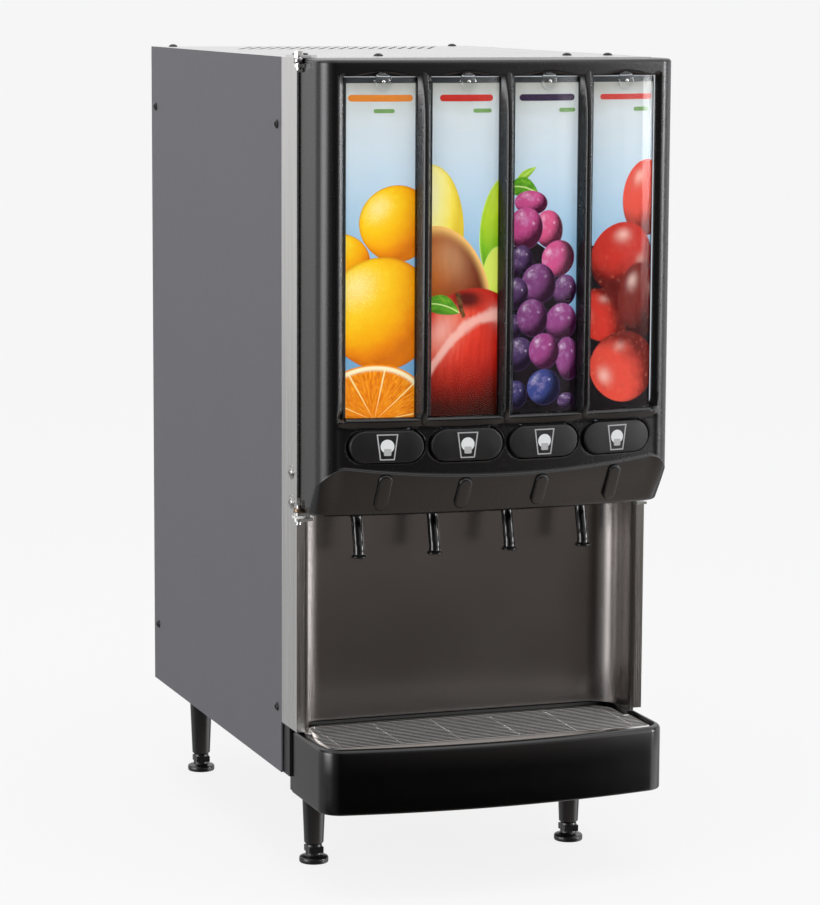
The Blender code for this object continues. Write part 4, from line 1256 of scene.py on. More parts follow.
# x, z, radius x, radius z, turn, seed
GRAPES = (
    (-16, 704.127, 17, 12, -4, 0.10), (3, 677.5185, 15.5, 19, 8, 0.0),
    (-22, 678.504, 18, 21, -8, 0.12), (14, 647.9535, 19, 18, 30, 0.06),
    (-34, 643.026, 9, 15, 0, 0.60), (-24, 647.9535, 10, 14, 10, 0.68),
    (22, 615.432, 13.5, 16, -10, 0.52), (-7, 623.316, 18, 20, 12, 0.46),
    (-31, 613.461, 12, 16, -12, 0.66), (-34, 580.9395, 11, 12, 0, 0.72),
    (18, 583.896, 18, 19, -14, 0.34), (-14, 588.8235, 16, 19, 6, 0.44),
    (26, 546.447, 14, 22, 8, 0.36), (-28, 552.36, 14, 17.5, -16, 0.74),
    (-1, 555.3165, 16.5, 18, 10, 0.30), (-31, 511.9545, 12, 14, 0, 0.86),
    (24, 504.0705, 10, 8, 0, 0.70), (-1, 518.853, 18, 18, 20, 1.0))
BERRIES = (
    (28, 706.098, 28, 39, -4, 0.08), (1, 645.9825, 35, 37, -30, 0.42),
    (-21, 588.8235, 26, 31, 60, 0.34), (23, 602.6205, 27, 38, 4, 0.90),
    (4, 535.6065, 36, 38, 80, 0.12))

# Patches of each card, from the rearmost to the foremost.
PICTURES = (
    [fruit("orange", 17, 685.4025, 38, 38, 12, 0.3),
     fruit("orange", -39, 646.968, 29, 29, -20, 0.5),
     fruit("orange", 3, 596.7075, 55, 56, 5, 0.7),
     fruit("slice", -6, 490.2735, 62, 56, 8, 0.4)]
    + bands(1, x=0.5, half=32.0, r=3.3, green_x=3, green_half=10.5),
    [fruit("yellow", -31, 683.4315, 29, 60, 4, 0.5),
     fruit("lime", 41, 677.5185, 26, 54, -6, 0.3),
     fruit("lime", 40, 617.403, 22, 44, 6, 0.9),
     fruit("mango", -20, 609.519, 47, 74, 12, 0.2),
     fruit("apple", 9, 540.534, 62, 80, -3, 0.5, squash=0.05),
     leaf(-24, 600.6495, 38, 22, -14, 0.25, bend=0.10),
     flat("stem", [(-3.0, 590.7945), (0.4, 592.7655), (-2.2, 601.635), (-4.4, 614.4465),
                   (-7.8, 616.91025), (-10.6, 615.432), (-8.6, 610.5045),
                   (-6.6, 600.6495)], seed=0.3)]
    + bands(2, x=1.0, half=27.5, r=3.3, green_x=17, green_half=10.0),
    [leaf(-22, 730.7355, 28, 9, 40, 0.9, bend=0.05),
     leaf(-25, 715.953, 34, 22, -12, 0.3, bend=0.12),
     flat("shade", [(-40, 654.852), (-20, 670.62), (-2, 658.794), (12, 641.055),
                    (23, 621.345), (27, 595.722), (40, 570.099), (40, FOOT_Z),
                    (-40, FOOT_Z)])]
    + [fruit("grape", *row) for row in GRAPES]
    + bands(3, x=0.5, half=30.0, r=3.3, green_x=22, green_half=9.5),
    [flat("shade", [(-40, 658.794), (0, 660.765), (26, 654.852), (31, 631.2),
                    (40, 591.78), (40, FOOT_Z), (-40, FOOT_Z)])]
    + [fruit("berry", *row) for row in BERRIES]
    + bands(4, x=3.5, half=30.0, r=2.8, green_x=20, green_half=9.0))

CARD_LEFT, CARD_RIGHT = 33.2, 35.5      # reach to each side of the middle
CARD_Z0, CARD_Z1 = 490.0, 823.2
CARD_STRIPS = 12
INK_STEP = 0.042                        # each patch stands this far in front of the last


def card_y(centre, x):
    return lens_y(centre, x) + LENS_THICK + 1.1


def strip_x(centre, k):
    return centre - CARD_RIGHT + 2 * CARD_RIGHT * k / CARD_STRIPS


def add_patch(bm, loc_layer, centre, outline, loc, lift, mat):
    """Trim a patch to the card, cut it into the card's strips and bend it on to the card."""
    part = bmesh.new()
    part.faces.new([part.verts.new((centre + x, 0, z)) for x, z in outline])

    def cut(co, no, **options):
        bmesh.ops.bisect_plane(part, geom=part.verts[:] + part.edges[:] + part.faces[:],
                               plane_co=co, plane_no=no, dist=1e-5, **options)
    for co, no in (((centre - CARD_LEFT, 0, 0), (-1, 0, 0)),
                   ((centre + CARD_RIGHT, 0, 0), (1, 0, 0)),
                   ((0, 0, CARD_Z0), (0, 0, -1)), ((0, 0, CARD_Z1), (0, 0, 1))):
        cut(co, no, clear_outer=True)
    for k in range(1, CARD_STRIPS):
        cut((strip_x(centre, k), 0, 0), (1, 0, 0))
    made = {}
    for vert in part.verts:
        x, _, z = vert.co
        made[vert] = bm.verts.new((x, card_y(centre, x) - lift, z))
        made[vert][loc_layer] = loc(x - centre, z)
    for face in part.faces:
        copy = bm.faces.new([made[v] for v in face.verts])
        copy.normal_update()
        if copy.normal.y > 0:
            copy.normal_flip()
        copy.material_index = mat
    part.free()


def picture_card(n, centre, patches):
    bm = bmesh.new()
    loc_layer = bm.verts.layers.float_vector.new("loc")
    xs = [centre - CARD_LEFT] + [strip_x(centre, k) for k in range(1, CARD_STRIPS + 1)]
    rows = [[bm.verts.new((x, card_y(centre, x) + back, z)) for x in xs]
            for back in (0.0, 0.8) for z in (CARD_Z0, CARD_Z1)]
    # the slab carries the sky ink
    bent_sheet(bm, *rows)
    patch_verts_start = ["sky"]
    names = patch_verts_start
    for layer, (ink, outline, loc) in enumerate(patches, 1):
        if ink not in names:
            names.append(ink)
        add_patch(bm, loc_layer, centre, outline, loc, INK_STEP * layer, names.index(ink))
    piece(f"picture_card_{n}", bm, [INKS[name] for name in names], f"window_{n}",
          smooth=30, outward=False)


def card_surround(n, centre):
    """Dark strips to the left, to the right and over a card."""
    bm = bmesh.new()
    low, high, side, m = 488.0, 829.0, 36.4, 8
    for x0, x1, z0 in ((-side, -CARD_LEFT, low), (CARD_RIGHT, side, low),
                       (-CARD_LEFT, CARD_RIGHT, CARD_Z1)):
        xs = [centre + x0 + (x1 - x0) * k / m for k in range(m + 1)]
        ring = [(x, card_y(centre, x) - 0.2) for x in xs]
        ring += [(x, card_y(centre, x) + 0.9) for x in xs[::-1]]
        prism(bm, ring, z0, high)
    piece(f"card_surround_{n}", bm, CARD_EDGE, f"window_{n}", smooth=30)


# ================================================================== splash panel
SPLASH_HALF, SPLASH_BACK, SPLASH_CORNER, SPLASH_THICK = 178.4, 56.0, 30.0, 1.2


def splash_line(offset, edge):
    """Plan of one face of the sheet; edge is (outset, Y) from the flange backwards."""
    cx, cy = SPLASH_HALF - SPLASH_CORNER, SPLASH_BACK - SPLASH_CORNER
    r = SPLASH_CORNER + offset
    line = [(-SPLASH_HALF - out, y) for out, y in edge] + arc(-cx, cy, r, 180, 90, 28)
    line += [(-cx + 2 * cx * k / 12, SPLASH_BACK + offset) for k in range(1, 12)]
    line += arc(cx, cy, r, 90, 0, 28)
    return line + [(SPLASH_HALF + out, y) for out, y in edge[::-1]]


def splash_sheet():
    """One bent sheet with rounded rear corners and narrow front flanges."""
    t = SPLASH_THICK
    inner = splash_line(0.0, [(3.8, 0.2), (0.9, 0.2), (0.25, 0.5), (0, 1.4), (0, 6), (0, 14)])
    outer = splash_line(t, [(3.8, 0.2 + t), (1.5, 0.2 + t), (t, 0.6 + t), (t, 3.0), (t, 8),
                            (t, 16)])
    bottom, top = 159.2, 390.8
    bm = bmesh.new()
    loft(bm, [[(x, y, z) for x, y in inner + outer[::-1]]
              for z in (bottom, 200, 240, 280, 320, 360, top)], cap=False)
    for z in (bottom, top):
        a = [bm.verts.new((x, y, z)) for x, y in inner]
        b = [bm.verts.new((x, y, z)) for x, y in outer]
        for i in range(len(a) - 1):
            bm.faces.new((a[i], a[i + 1], b[i + 1], b[i]))
    bmesh.ops.remove_doubles(bm, verts=bm.verts, dist=0.001)
    # the sheet takes the darkened copy of the stainless, painted shade
    piece("splash_sheet", bm, STEEL_CROSS_SHADED, "cabinet", "splash_panel",
          smooth=40)


# ================================================================== legs and spouts
LEG_X, LEG_FRONT_Y, LEG_REAR_Y = 145.0, 86.0, 519.0
# (radius, height)
LEG_PROFILE = [(0, 62), (5.8, 62), (5.8, 21.0), (9.2, 21.0), (9.9, 21.25), (10.3, 22.0),
               (13.45, 98.5), (13.6, 99.6), (14.4, 100.6), (14.8, 101.8), (14.8, 105.6),
               (14.5, 106.6), (13.6, 107.5), (0, 107.7)]
FOOT_PROFILE = [(0, 0), (13.6, 0), (14.9, 0.35), (15.4, 1.2), (15.5, 2.2), (15.5, 4.9),
                (15.25, 5.8), (14.4, 6.6), (12.4, 7.1), (10.2, 7.5), (9.2, 8.3), (8.8, 9.6),
                (8.8, 18.6), (8.4, 19.8), (7.4, 20.5), (5.2, 20.5), (5.2, 58), (0, 58)]


def leg(name, x, y):
    bm = bmesh.new()
    lathe(bm, LEG_PROFILE, (x, y, 0), segments=48)
    piece(f"tapered_leg_{name}", bm, LEG, "cabinet", f"leg_{name}")
    bm = bmesh.new()
    lathe(bm, FOOT_PROFILE, (x, y, 0), segments=48)
    # spanner flats
    block(bm, x - 7.9, x + 7.9, y - 9.35, y + 9.35, 11.0, 17.5)
    piece(f"level_foot_{name}", bm, LEG, f"foot_{name}_body", f"foot_{name}")


# (height, radius) of the upright tip, downwards
SPOUT_TIP = ((342.6, 5.9), (341.6, 6.2), (341.2, 6.9), (340.7, 7.8), (340.2, 8.2),
             (339.2, 8.2), (338.8, 8.0), (338.5, 7.4))


def spout(n, x):
    """A sloping pipe that bends down to a flared tip."""
    slope = math.radians(14.7)
    along = Vector((0, -math.sin(slope), -math.cos(slope)))
    knee = Vector((x, 5.0, 352.0))
    start = knee - along * 41
    bend = spline([knee - along * 12, knee - along * 4, (x, 4.0, 349.0), (x, 3.55, 344.5)], 6)
    path = [start, start + along * 1.5, start + along * 3, start + along * 20] + bend
    path += [(x, 3.5, z) for z, _ in SPOUT_TIP]
    radii = [6.6, 6.6, 5.8, 5.8] + [5.8] * len(bend) + [r for _, r in SPOUT_TIP]
    bm = bmesh.new()
    tube(bm, path, radii, 28, bore=4.0)
    # collar near the top of the visible length
    collar = start + along * 9.0
    tube(bm, [collar, collar + along * 0.5, collar + along * 3.3, collar + along * 3.8],
         [6.3, 6.8, 6.8, 6.3], 28)
    piece(f"spout_{n}", bm, GLOSS, f"nozzle_{n}_body", f"nozzle_{n}", smooth=45)


# ================================================================== drip tray and grate
def tray_plan(inset, rear):
    """Plan of the tray from its left rear corner round the bowed front."""
    n, m = 18, 36
    half, r, crown = 186.5 - inset, 24.0 - inset, -95.0 + inset
    end_x = half - 0.83 * r
    lean = math.degrees(math.asin(end_x / BOW_RADIUS))
    cx = half - r
    cy = bow(end_x, crown) + r * math.cos(math.radians(lean))
    left = arc(-cx, cy, r, 180, 270 - lean, n)
    x0 = left[-1][0]
    front = [x0 - 2 * x0 * k / m for k in range(1, m)]
    return ([(-half, rear)] + left + [(x, bow(x, crown)) for x in front]
            + arc(cx, cy, r, 270 + lean, 360, n) + [(half, rear)])


def basin_plan(inset, rear_half, rear, r=0.0, step=-1.3):
    """Tray plan that narrows at Y = step to a rear part with corner radius r."""
    left, right = [(-rear_half, rear)], [(rear_half, rear)]
    if r:
        left = arc(-rear_half + r, rear - r, r, 90, 180, 14)
        right = arc(rear_half - r, rear - r, r, 0, 90, 14)
    return left + [(-rear_half, step)] + tray_plan(inset, step) + [(rear_half, step)] + right


# (height, inset)
TRAY_PROFILE = ((91.0, 1.6), (91.15, 1.1), (91.6, 0.5), (92.4, 0.1), (93.4, 0.0), (110, 0.0),
                (130, 0.0), (153.4, 0.0), (155.0, 0.25), (156.4, 0.85), (157.5, 1.8),
                (158.2, 2.9), (158.5, 4.1))


def drip_tray():
    bm = bmesh.new()
    loft(bm, [[(x, y, z) for x, y in tray_plan(inset, 31.0)] for z, inset in TRAY_PROFILE])
    tray = piece("tray_moulding", bm, TRAY, "tray", "drip_tray", smooth=None)

    def change(operation, build, *shape):
        part = bmesh.new()
        build(part, *shape)
        boolean(tray, part, operation)
    # rear body and the lower body under it
    change("UNION", block, -177.5, 177.5, 20, 56, 107, 158.5)
    change("UNION", block, -184, 184, 25, 45, 91, 107.4)
    # seat of the grate, basin and hollow underside
    change("DIFFERENCE", prism, basin_plan(6.0, 174.8, 51.0), 150.2, 170)
    change("DIFFERENCE", prism, basin_plan(12.0, 168.0, 46.0), 113, 160)
    change("DIFFERENCE", prism, tray_plan(3.0, 28.0), 80, 109.5)
    # two pockets in the rear underside
    for x0, x1 in ((-160, -60), (60, 160)):
        change("DIFFERENCE", block, x0, x1, 20, 43, 80, 105)
    # round recess in the basin floor
    change("DIFFERENCE", lathe, [(0, 111.0), (9.0, 111.0), (9.0, 120.0), (0, 120.0)],
           (0, -10, 0))
    shade(tray.data, 30)
    bevel(tray, 0.7, 2, angle=40)


# (share of the way from the outer to the inner outline, height) of the dished rim
RIM_PROFILE = ((0.00, 150.8), (0.0, 153.3), (0.03, 153.7), (0.08, 154.0), (0.40, 155.2),
               (0.75, 156.3), (0.92, 156.5), (1.0, 156.1), (1.0, 151.8), (0.86, 151.8),
               (0.84, 155.6), (0.40, 154.2), (0.22, 153.5), (0.20, 150.8))
RIM_WIDTH = 6.3
WIRE_COUNT, WIRE_FRONT, WIRE_REAR = 17, -58.6, 40.2
BEARER_X = (-160.0, -96.0, -32.0, 32.0, 96.0, 160.0)


def wire_grate():
    outer = basin_plan(6.9, 173.9, 50.1, 24.0, -2.2)
    inner = [(x, max(y, -62.0)) for x, y in basin_plan(
        6.9 + RIM_WIDTH, 173.9 - RIM_WIDTH, 50.1 - RIM_WIDTH, 17.8, -2.2 - RIM_WIDTH)]
    bm = bmesh.new()
    loft(bm, [[(a[0] + (b[0] - a[0]) * f, a[1] + (b[1] - a[1]) * f, z)
               for a, b in zip(outer, inner)] for f, z in RIM_PROFILE], closed_profile=True)

    def opening(axis, at):
        """Ends of the rim's opening on a line where coordinate axis has a given value."""
        other = 1 - axis
        hits = []
        for a, b in zip(inner, inner[1:] + inner[:1]):
            run = b[axis] - a[axis]
            if (a[axis] - at) * (b[axis] - at) <= 0 and abs(run) > 1e-9:
                hits.append(a[other] + (b[other] - a[other]) * (at - a[axis]) / run)
        return min(hits), max(hits)
    bury = 0.8                          # how far a wire runs into the rim
    ys = [WIRE_FRONT + (WIRE_REAR - WIRE_FRONT) * k / (WIRE_COUNT - 1)
          for k in range(WIRE_COUNT)]
    for y in ys:
        a, b = opening(1, y)
        tube(bm, [(x, y, 155.5) for x in (a - bury, (a + b) / 2, b + bury)], 0.68, 10, mat=1)
    for x in BEARER_X:
        a, b = opening(0, x)
        tube(bm, [(x, y, 153.2) for y in (a - bury, (a + b) / 2, b + bury)], 0.95, 12, mat=1)
        for y in ys:
            if a < y < b:
                # weld between wire and bearer
                lathe(bm, [(0, -0.9), (0.8, -0.8), (0.95, 0.1), (0.8, 0.7), (0, 0.85)],
                      (x, y, 154.7), segments=12)
    # the wires take the darkened copy of the steel, painted shade
    piece("wire_grate", bm, [STEEL_RIM, STEEL_WIRE_SHADED], "grate",
          "drip_grate", smooth=45)


# ================================================================== fasteners
def add_part(bm, part, at, axis, spin, mat=0):
    """Copy a part built along +Z on to a surface, spun about its axis, and free it."""
    turn_outward(part)
    rotation = Vector((0, 0, 1)).rotation_difference(Vector(axis)).to_matrix().to_4x4()
    matrix = Matrix.Translation(Vector(at)) @ rotation @ Matrix.Rotation(spin, 4, "Z")
    bmesh.ops.transform(part, matrix=matrix, verts=part.verts)
    made = {v: bm.verts.new(v.co) for v in part.verts}
    for face in part.faces:
        bm.faces.new([made[v] for v in face.verts]).material_index = mat
    part.free()


def hex_head(r, h):
    """Domed head with a hexagon socket."""
    n = 36
    socket = r * 0.42
    profile = [(r, -0.6), (r, 0.25)]
    for t in map(math.radians, (15, 30, 45, 58, 66)):
        profile.append((r * math.cos(t) ** 0.9, 0.25 + (h - 0.25) * math.sin(t)))
    profile += [(socket * 1.12, h * 0.985), (socket, h * 0.93)]
    rings = [circle(q, z, n) for q, z in profile]
    for z in (h * 0.80, -0.3):
        ring = []
        for a in (2 * math.pi * k / n for k in range(n)):
            q = socket * 0.92 * math.cos(math.pi / 6)
            q /= math.cos((a % (math.pi / 3)) - math.pi / 6)
            ring.append((q * math.cos(a), q * math.sin(a), z))
        rings.append(ring)
    part = bmesh.new()
    loft(part, rings)
    return part


def cross_head(r, h, washer=0.0):
    """Low domed head with a cross recess, and a washer of a given radius or none."""
    n = 48
    if washer:
        base = 0.85
        profile = [(washer, -0.4), (washer, 0.55), (washer - 0.25, 0.8), (r + 0.05, base)]
    else:
        base = 0.2
        profile = [(r, -0.6)]
    for t in map(math.radians, (0, 8, 20, 35, 50, 62, 72, 79)):
        profile.append((r * math.cos(t), base + h * math.sin(t)))
    rings = [circle(q, z, n) for q, z in profile]
    arm, half_width, top = r * 0.52, r * 0.13, base + h
    rim = []
    for x, y, _ in circle(1.0, 0.0, n):
        q = min(half_width / max(min(abs(x), abs(y)), 1e-9), arm)
        rim.append((q * x, q * y, top * 0.97))
    rings += [rim, [(x * 0.6, y * 0.6, top - h * 0.9) for x, y, _ in rim]]
    part = bmesh.new()
    loft(part, rings)
    return part


def case_screws():
    # radius, height, place, direction
    screws = [(4.6, 2.6, (side * 191.35, y, z), (side, 0, 0))
              for side in (-1, 1) for y in (66.0, 534.0) for z in (778.0, 175.0)]
    screws += [(5.0, 2.8, (x, y, 845.95), (0, 0, 1)) for x, y in (
        (-172, 69), (-82, 69), (126, 69), (172, 69), (-171, 533), (169, 533))]
    screws += [(4.4, 2.4, (x, 550.95, z), (0, 1, 0))
               for x in (-170, -57, 57, 170) for z in (172, 836)]
    screws += [(4.4, 2.4, (side * 183.0, 552.75, z), (0, 1, 0))
               for side in (-1, 1) for z in (330, 590)]
    bm = bmesh.new()
    for r, h, at, axis in screws:
        add_part(bm, hex_head(r, h), at, axis, spin=RNG.uniform(0, 1))
    piece("case_screws", bm, SCREW_BLACK, "cabinet", outward=False)


def flange_screws():
    bm = bmesh.new()
    for z in (428.0, 397.5):
        for side in (-1, 1):
            add_part(bm, cross_head(5.2, 2.1, washer=7.4), (side * 191.15, 17.5, z),
                     (side, 0, 0), spin=RNG.uniform(0.1, 0.9))
    piece("flange_screws", bm, SCREW_STEEL, "cabinet", outward=False)


def upper_hinge_trim():
    """Two screws on the hinge bracket, and the bush round its pin."""
    bm = bmesh.new()
    for x, y, spin in ((-176.5, 20.0, 0.7), (-183.5, 27.5, 0.2)):
        add_part(bm, cross_head(3.6, 1.6), (x, y, 848.85), (0, 0, 1), spin, mat=1)
    lathe(bm, [(2.75, 841.0), (4.8, 841.0), (5.0, 841.4), (5.0, 845.7), (4.8, 846.1),
               (2.75, 846.1), (2.75, 841.0)], (HINGE_X, HINGE_Y, 0), mat=2)
    piece("upper_hinge_trim", bm, [SCREW_STEEL, SCREW_BLACK, SCREW_STEEL], "cabinet")


def lower_hinge_parts():
    """Washer under the lower arm, and the bush above it."""
    at = (HINGE_X, HINGE_Y, 0)
    bm = bmesh.new()
    lathe(bm, [(2.75, 384.7), (6.6, 384.7), (6.9, 385.0), (6.9, 386.9), (6.6, 387.2),
               (2.75, 387.2), (2.75, 384.7)], at, segments=36)
    piece("lower_hinge_washer", bm, WHITE, "cabinet")
    bm = bmesh.new()
    lathe(bm, [(2.95, 390.7), (4.9, 390.7), (5.2, 391.0), (5.2, 393.6), (4.6, 394.8),
               (2.95, 394.8), (2.95, 390.7)], at, segments=36)
    piece("lower_hinge_bush", bm, BRONZE, "door")


# ================================================================== mains cord
PLUG_X = 146
# height, half width, half depth, middle Y
PLUG_STATIONS = ((199, 4.2, 4.2, 560.2), (197, 5.4, 5.2, 560.4), (192, 8.6, 6.4, 561.5),
                 (186, 11.0, 8.0, 563.2), (176, 11.8, 9.6, 564.6), (166, 11.4, 9.9, 564.8),
                 (162, 10.8, 9.5, 564.6), (160.4, 9.6, 8.4, 564.4))


def plug_ring(z, half_x, half_y, y):
    """A rounded-box section of the plug."""
    def boxy(value):
        return math.copysign(abs(value) ** 0.65, value)
    return [(PLUG_X + half_x * boxy(c), y + half_y * boxy(s), z)
            for c, s, _ in circle(1, 0, 32)]


def mains_cord():
    bm = bmesh.new()
    path = [(150, 545, 352), (150, 553, 351.2), (150, 558.4, 346), (150.2, 560.0, 335),
            (150.6, 560.2, 300), (149, 560.2, 250), (146.6, 560.2, 215), (146, 560.2, 192)]
    tube(bm, spline(path, 10), 3.6, 20)
    # bushing where the cord leaves the cabinet
    lathe(bm, [(3.7, 549.0), (8.6, 549.0), (8.6, 551.2), (11.0, 551.2), (11.4, 551.8),
               (11.2, 553.4), (8.6, 554.4), (5.6, 556.6), (4.4, 559.0), (3.7, 559.0),
               (3.7, 549.0)], (150, 0, 352), "y")
    loft(bm, [plug_ring(*station) for station in PLUG_STATIONS])
    # ribs round the plug
    for k in range(5):
        loft(bm, [plug_ring(168 + 3.6 * k + dz, 11.5 + out, 9.6 + out, 564.7)
                  for dz, out in ((0, 0.0), (0.5, 0.5), (1.3, 0.5), (1.8, 0.0))])
    # two flat blades and a round pin
    for x in (139.0, 151.4):
        prism(bm, [(x, 142.8), (x + 0.8, 142.0), (x + 1.6, 142.8), (x + 1.6, 162), (x, 162)],
              560.8, 567.2, "y", mat=1)
    lathe(bm, [(0, 141.8), (1.6, 142.2), (2.4, 143.4), (2.4, 162), (0, 162)],
          (PLUG_X, 570.2, 0), segments=20, mat=1)
    piece("mains_cord", bm, [CORD, BRASS], "cabinet", "power_cord", smooth=40)


# ================================================================== CAD nodes that stay
# node, material, bevel width in mm (0 for none), bevel segments
CAD_FINISHES = [
    ("left_side_panel", GREY, 0.5, 3), ("right_side_panel", GREY, 0.5, 3),
    ("rear_panel", GREY_BACK, 0.3, 2), ("top_panel", STEEL_TOP, 0.35, 2),
    ("base_pan", BASE, 0.8, 3), ("front_frame", STEEL_UPRIGHT, 0.45, 3),
    ("cold_liner", WHITE, 1.6, 3), ("water_bath_tank", TANK, 1.5, 3),
    ("evaporator_coil", COPPER, 0, 0), ("water_coil", STEEL_INSIDE, 0, 0),
    ("agitator_motor", ALUMINIUM, 0.6, 2), ("agitator_impeller", STEEL_INSIDE, 0.25, 2),
    ("compressor", ENAMEL, 1.0, 3), ("condenser", ALUMINIUM, 0.15, 1),
    ("fan_shroud", ENAMEL, 0.5, 2), ("fan_blade", PUMP, 0.5, 2),
    ("control_box", ZINC, 0.5, 2), ("water_inlet_valve", BRASS, 0.4, 2),
    ("door_liner", ZINC, 0.4, 2), ("door_gasket", RUBBER, 1.6, 3),
    ("light_panel", LIGHT, 0.6, 2), ("switch_board", BOARD, 0.2, 1),
    ("upper_door_arm", ZINC, 0.35, 2), ("lower_door_arm", ZINC, 0.35, 2),
    ("upper_hinge_bracket", CHROME, 0.4, 2), ("lower_hinge_bracket", ZINC, 0.4, 2),
    ("door_catch", ZINC, 0.4, 2)]
for _k in range(1, FLAVOUR_COUNT + 1):
    CAD_FINISHES += [(f"juice_container_{_k}", JAR, 2.2, 3), (f"pump_{_k}", PUMP, 0.8, 2)]


def finish_node(name, material, width, segments):
    obj = NODES[name]
    obj.data.materials.clear()
    obj.data.materials.append(material)
    for poly in obj.data.polygons:
        poly.material_index = 0
    shade(obj.data, 35 if width else 60)
    if width:
        bevel(obj, width, segments)


# ================================================================== stage, light, camera
PAPER = (0.913, 0.913, 0.913, 1.0)


def studio_floor():
    """A sweep of paper: floor, curve and upright back. Metres."""
    r, turn_y, half = 2.5, 4.0, 12.0
    section = [(-9.0, 0.0), (turn_y, 0.0)]
    for t in map(math.radians, range(10, 91, 10)):
        section.append((turn_y + r * math.sin(t), r - r * math.cos(t)))
    section.append((turn_y + r, 9.0))
    bm = bmesh.new()
    rows = [[bm.verts.new((x, y, z)) for x in (-half, half)] for y, z in section]
    for a, b in zip(rows, rows[1:]):
        bm.faces.new((a[0], a[1], b[1], b[0]))
    mesh = bpy.data.meshes.new("studio_floor")
    bm.to_mesh(mesh)
    bm.free()
    floor = add_object("studio_floor", mesh)
    mesh.shade_smooth()

    material = bpy.data.materials.new("studio_paper")
    material.use_nodes = True
    net = Net(material.node_tree, clear=True)
    out = net.node("ShaderNodeOutputMaterial")
    glow = net.node("ShaderNodeEmission")
    glow.inputs[0].default_value = PAPER
    glow.inputs[1].default_value = 0.935
    matt = net.node("ShaderNodeBsdfDiffuse")
    matt.inputs[0].default_value = (0.10, 0.10, 0.10, 1.0)
    both = net.node("ShaderNodeAddShader")
    net.links.new(glow.outputs[0], both.inputs[0])
    net.links.new(matt.outputs[0], both.inputs[1])
    net.links.new(both.outputs[0], out.inputs[0])
    mesh.materials.append(material)
    floor.visible_glossy = False
    floor.visible_diffuse = False
    floor.visible_transmission = True


def studio_world():
    """Plain light for matt surfaces, and a painted room of lamps for reflections.

    theta is the heading in degrees, 0 to the front (-Y) and positive to the right (+X);
    dx, dy and dz are the components of the direction.
    """
    world = bpy.data.worlds.new("studio")
    SCENE.world = world
    world.use_nodes = True
    net = Net(world.node_tree, clear=True)
    out = net.node("ShaderNodeOutputWorld")
    background = net.node("ShaderNodeBackground")
    net.links.new(background.outputs[0], out.inputs[0])
    dx, dy, dz = net.split(net.coords("Generated"))
    theta = net.math("ARCTAN2", dx, dy * -1.0) * (180.0 / math.pi)

    def panel(heading, soft_heading, height, soft_height, level):
        """A soft-edged rectangle of light, between two headings and two dz."""
        def window(wire, low, high, soft):
            return (wire.step(low - soft, low + soft)
                    * wire.step(high - soft, high + soft, 1.0, 0.0))
        return (window(theta, *heading, soft_heading)
                * window(dz, *height, soft_height) * level)

    # behind: differs between left and right, and fades towards the floor
    behind_left = dz.step(-0.16, 0.02, 0.42, 0.80) * (
        dx.step(0.10, -0.10) * theta.step(-136.0, -150.0))
    behind_right = dz.step(-0.40, -0.12, 0.22, 0.74) * dx.step(-0.10, 0.10)
    backdrop = dy.step(-0.02, 0.30) * (behind_left + behind_right)

    left_shape = theta.step(-112.0, -86.0) * theta.step(-76.0, -52.0, 1.0, 0.0)
    left_box = left_shape * dz.step(-0.150, -0.100) * (dz.step(0.85, 0.5) * 8.5)
    left_side = panel(heading=(-142.0, -98.0), soft_heading=6.0, height=(-0.75, 0.60),
                      soft_height=0.12, level=0.75) * dz.step(-0.24, -0.10, 0.62, 1.0)
    left_fill = panel(heading=(-66.0, -34.0), soft_heading=14.0, height=(-0.6, 0.55),
                      soft_height=0.12, level=0.30) * dz.step(-0.20, -0.08, 0.5, 1.0)
    right_box = panel(heading=(40.0, 56.0), soft_heading=5.0, height=(-0.30, 0.60),
                      soft_height=0.10, level=2.9) * dz.step(-0.15, 0.0, 0.04, 1.0)
    right_strip = panel(heading=(60.0, 68.0), soft_heading=1.5, height=(-0.085, 0.62),
                        soft_height=0.03, level=28.0) * dz.step(-0.10, 0.0, 0.5, 1.0)
    right_far = panel(heading=(74.0, 108.0), soft_heading=6.0, height=(-0.6, 0.6),
                      soft_height=0.12, level=1.15) * dz.step(-0.16, -0.08)
    right_low = panel(heading=(54.0, 104.0), soft_heading=8.0, height=(-0.6, -0.13),
                      soft_height=0.03, level=1.0) * dz.step(-0.22, -0.175, 1.9, 0.60)
    sides = (left_box + left_side + left_fill + right_box + right_strip + right_far
             + right_low)
    # the side lamps fade above the level of the machine
    sides = sides * dz.step(0.12, 0.26, 1.0, 0.16)
    top_box = dz.step(0.30, 0.68) * 1.3
    lamps = backdrop + sides + top_box

    front = (theta.lin(-8.0, 40.0, 0.0, 0.93) * abs(theta).step(62.0, 46.0)
             * dz.step(-0.16, 0.0))
    floor_glow = dz.step(-0.40, -0.80) * dx.lin(-0.5, 0.5, 0.34, 0.85)
    room = dz.step(-0.26, -0.10, 0.010, 0.070) + floor_glow + front
    warm = net.mix(dz.step(0.02, -0.10) * dy.step(0.15, -0.05), (1.0, 1.0, 1.0, 1.0),
                   (1.0, 0.86, 0.76, 1.0))
    room = net.mix(1.0, warm, net.join(room, room, room), "MULTIPLY")
    glossy = net.mix(1.0, room, net.join(lamps, lamps, lamps * 1.02), "ADD")

    rays = net.node("ShaderNodeLightPath").outputs
    col = net.mix(Wire(net, rays["Is Glossy Ray"]), (0.62, 0.62, 0.63, 1.0), glossy)
    col = net.mix(Wire(net, rays["Is Camera Ray"]), col, PAPER)
    col = net.mix(Wire(net, rays["Is Transmission Ray"]), col, glossy)
    net.put(background.inputs[0], col)


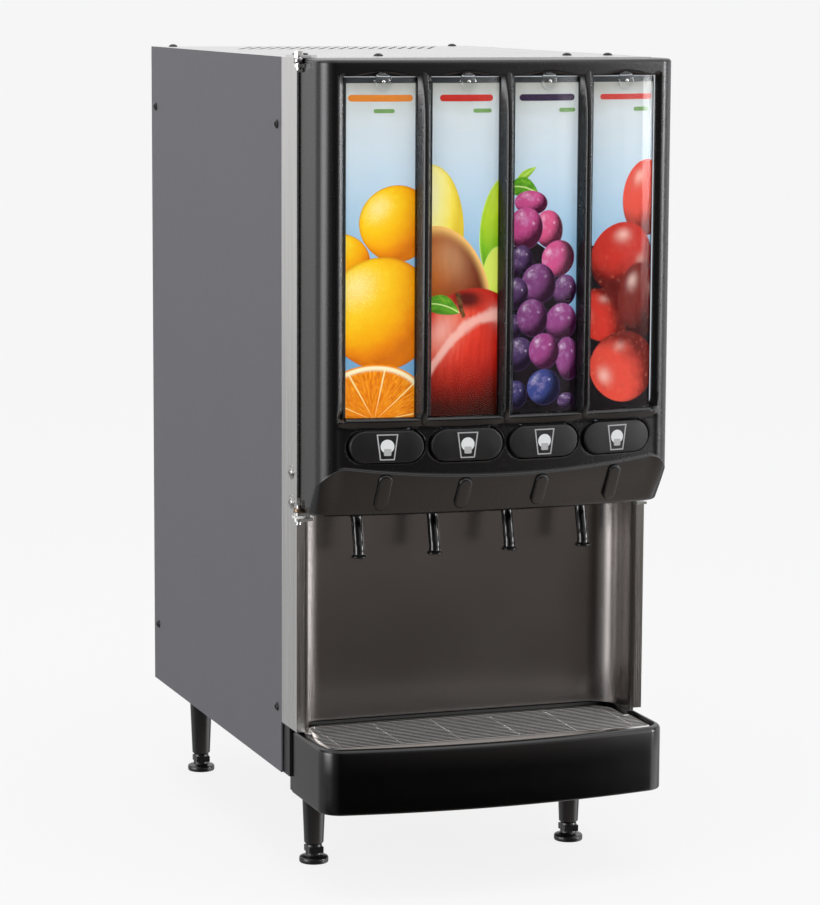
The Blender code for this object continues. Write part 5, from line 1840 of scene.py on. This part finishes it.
def area_light(name, at, towards, size, power):
    light = bpy.data.lights.new(name, "AREA")
    light.shape = "RECTANGLE"
    light.size = light.size_y = size
    light.energy = power
    obj = add_object(name, light)
    obj.location = at
    aim = Vector(towards) - Vector(at)
    obj.rotation_euler = aim.to_track_quat("-Z", "Y").to_euler()
    obj.visible_glossy = False


def camera():
    yaw, pitch, roll = math.radians(19.53), math.radians(8.142), math.radians(0.293)
    forward = Vector((math.sin(yaw) * math.cos(pitch), math.cos(yaw) * math.cos(pitch),
                      -math.sin(pitch)))
    level = Vector((math.cos(yaw), -math.sin(yaw), 0.0))
    upright = level.cross(forward)
    right = math.cos(roll) * level + math.sin(roll) * upright
    up = -math.sin(roll) * level + math.cos(roll) * upright
    data = bpy.data.cameras.new("camera")
    data.sensor_width = 36.0
    data.lens = 131.883315
    data.clip_start, data.clip_end = 0.1, 100.0
    obj = add_object("camera", data)
    matrix = Matrix((right, up, -forward)).transposed().to_4x4()
    matrix.translation = (Vector((-1190.8, -3159.9, 925.0)) + ORIGIN) / 1000.0
    obj.matrix_world = matrix
    SCENE.camera = obj
    SCENE.view_settings.view_transform = "Standard"
    SCENE.view_settings.look = "None"


# ================================================================== build
door_skin()
door_trim()
for number, middle_x in enumerate(FLAVOURS, 1):
    push_pad(number, middle_x)
    cup_sign(number, middle_x)
for number, middle_x in enumerate(WINDOWS, 1):
    clear_window(number, middle_x)
    finger_tab(number, middle_x)
for number, (middle_x, picture) in enumerate(zip(WINDOWS, PICTURES), 1):
    picture_card(number, middle_x, picture)
    card_surround(number, middle_x)
splash_sheet()
for end_name, leg_y in (("front", LEG_FRONT_Y), ("rear", LEG_REAR_Y)):
    leg(f"{end_name}_left", -LEG_X, leg_y)
    leg(f"{end_name}_right", LEG_X, leg_y)
for number, middle_x in enumerate(FLAVOURS, 1):
    spout(number, middle_x)
drip_tray()
wire_grate()
case_screws()
flange_screws()
upper_hinge_trim()
lower_hinge_parts()
mains_cord()
for finish in CAD_FINISHES:
    finish_node(*finish)
studio_floor()
studio_world()
area_light("overhead", (-0.3, -0.6, 3.2), towards=(0, 0, 0.5), size=2.4, power=38)
area_light("left_front", (-2.6, -2.0, 1.6), towards=(0, 0, 0.45), size=1.6, power=22)
area_light("right_front", (2.4, -2.2, 1.4), towards=(0, 0, 0.45), size=1.2, power=14)
camera()

bpy.context.view_layer.update()
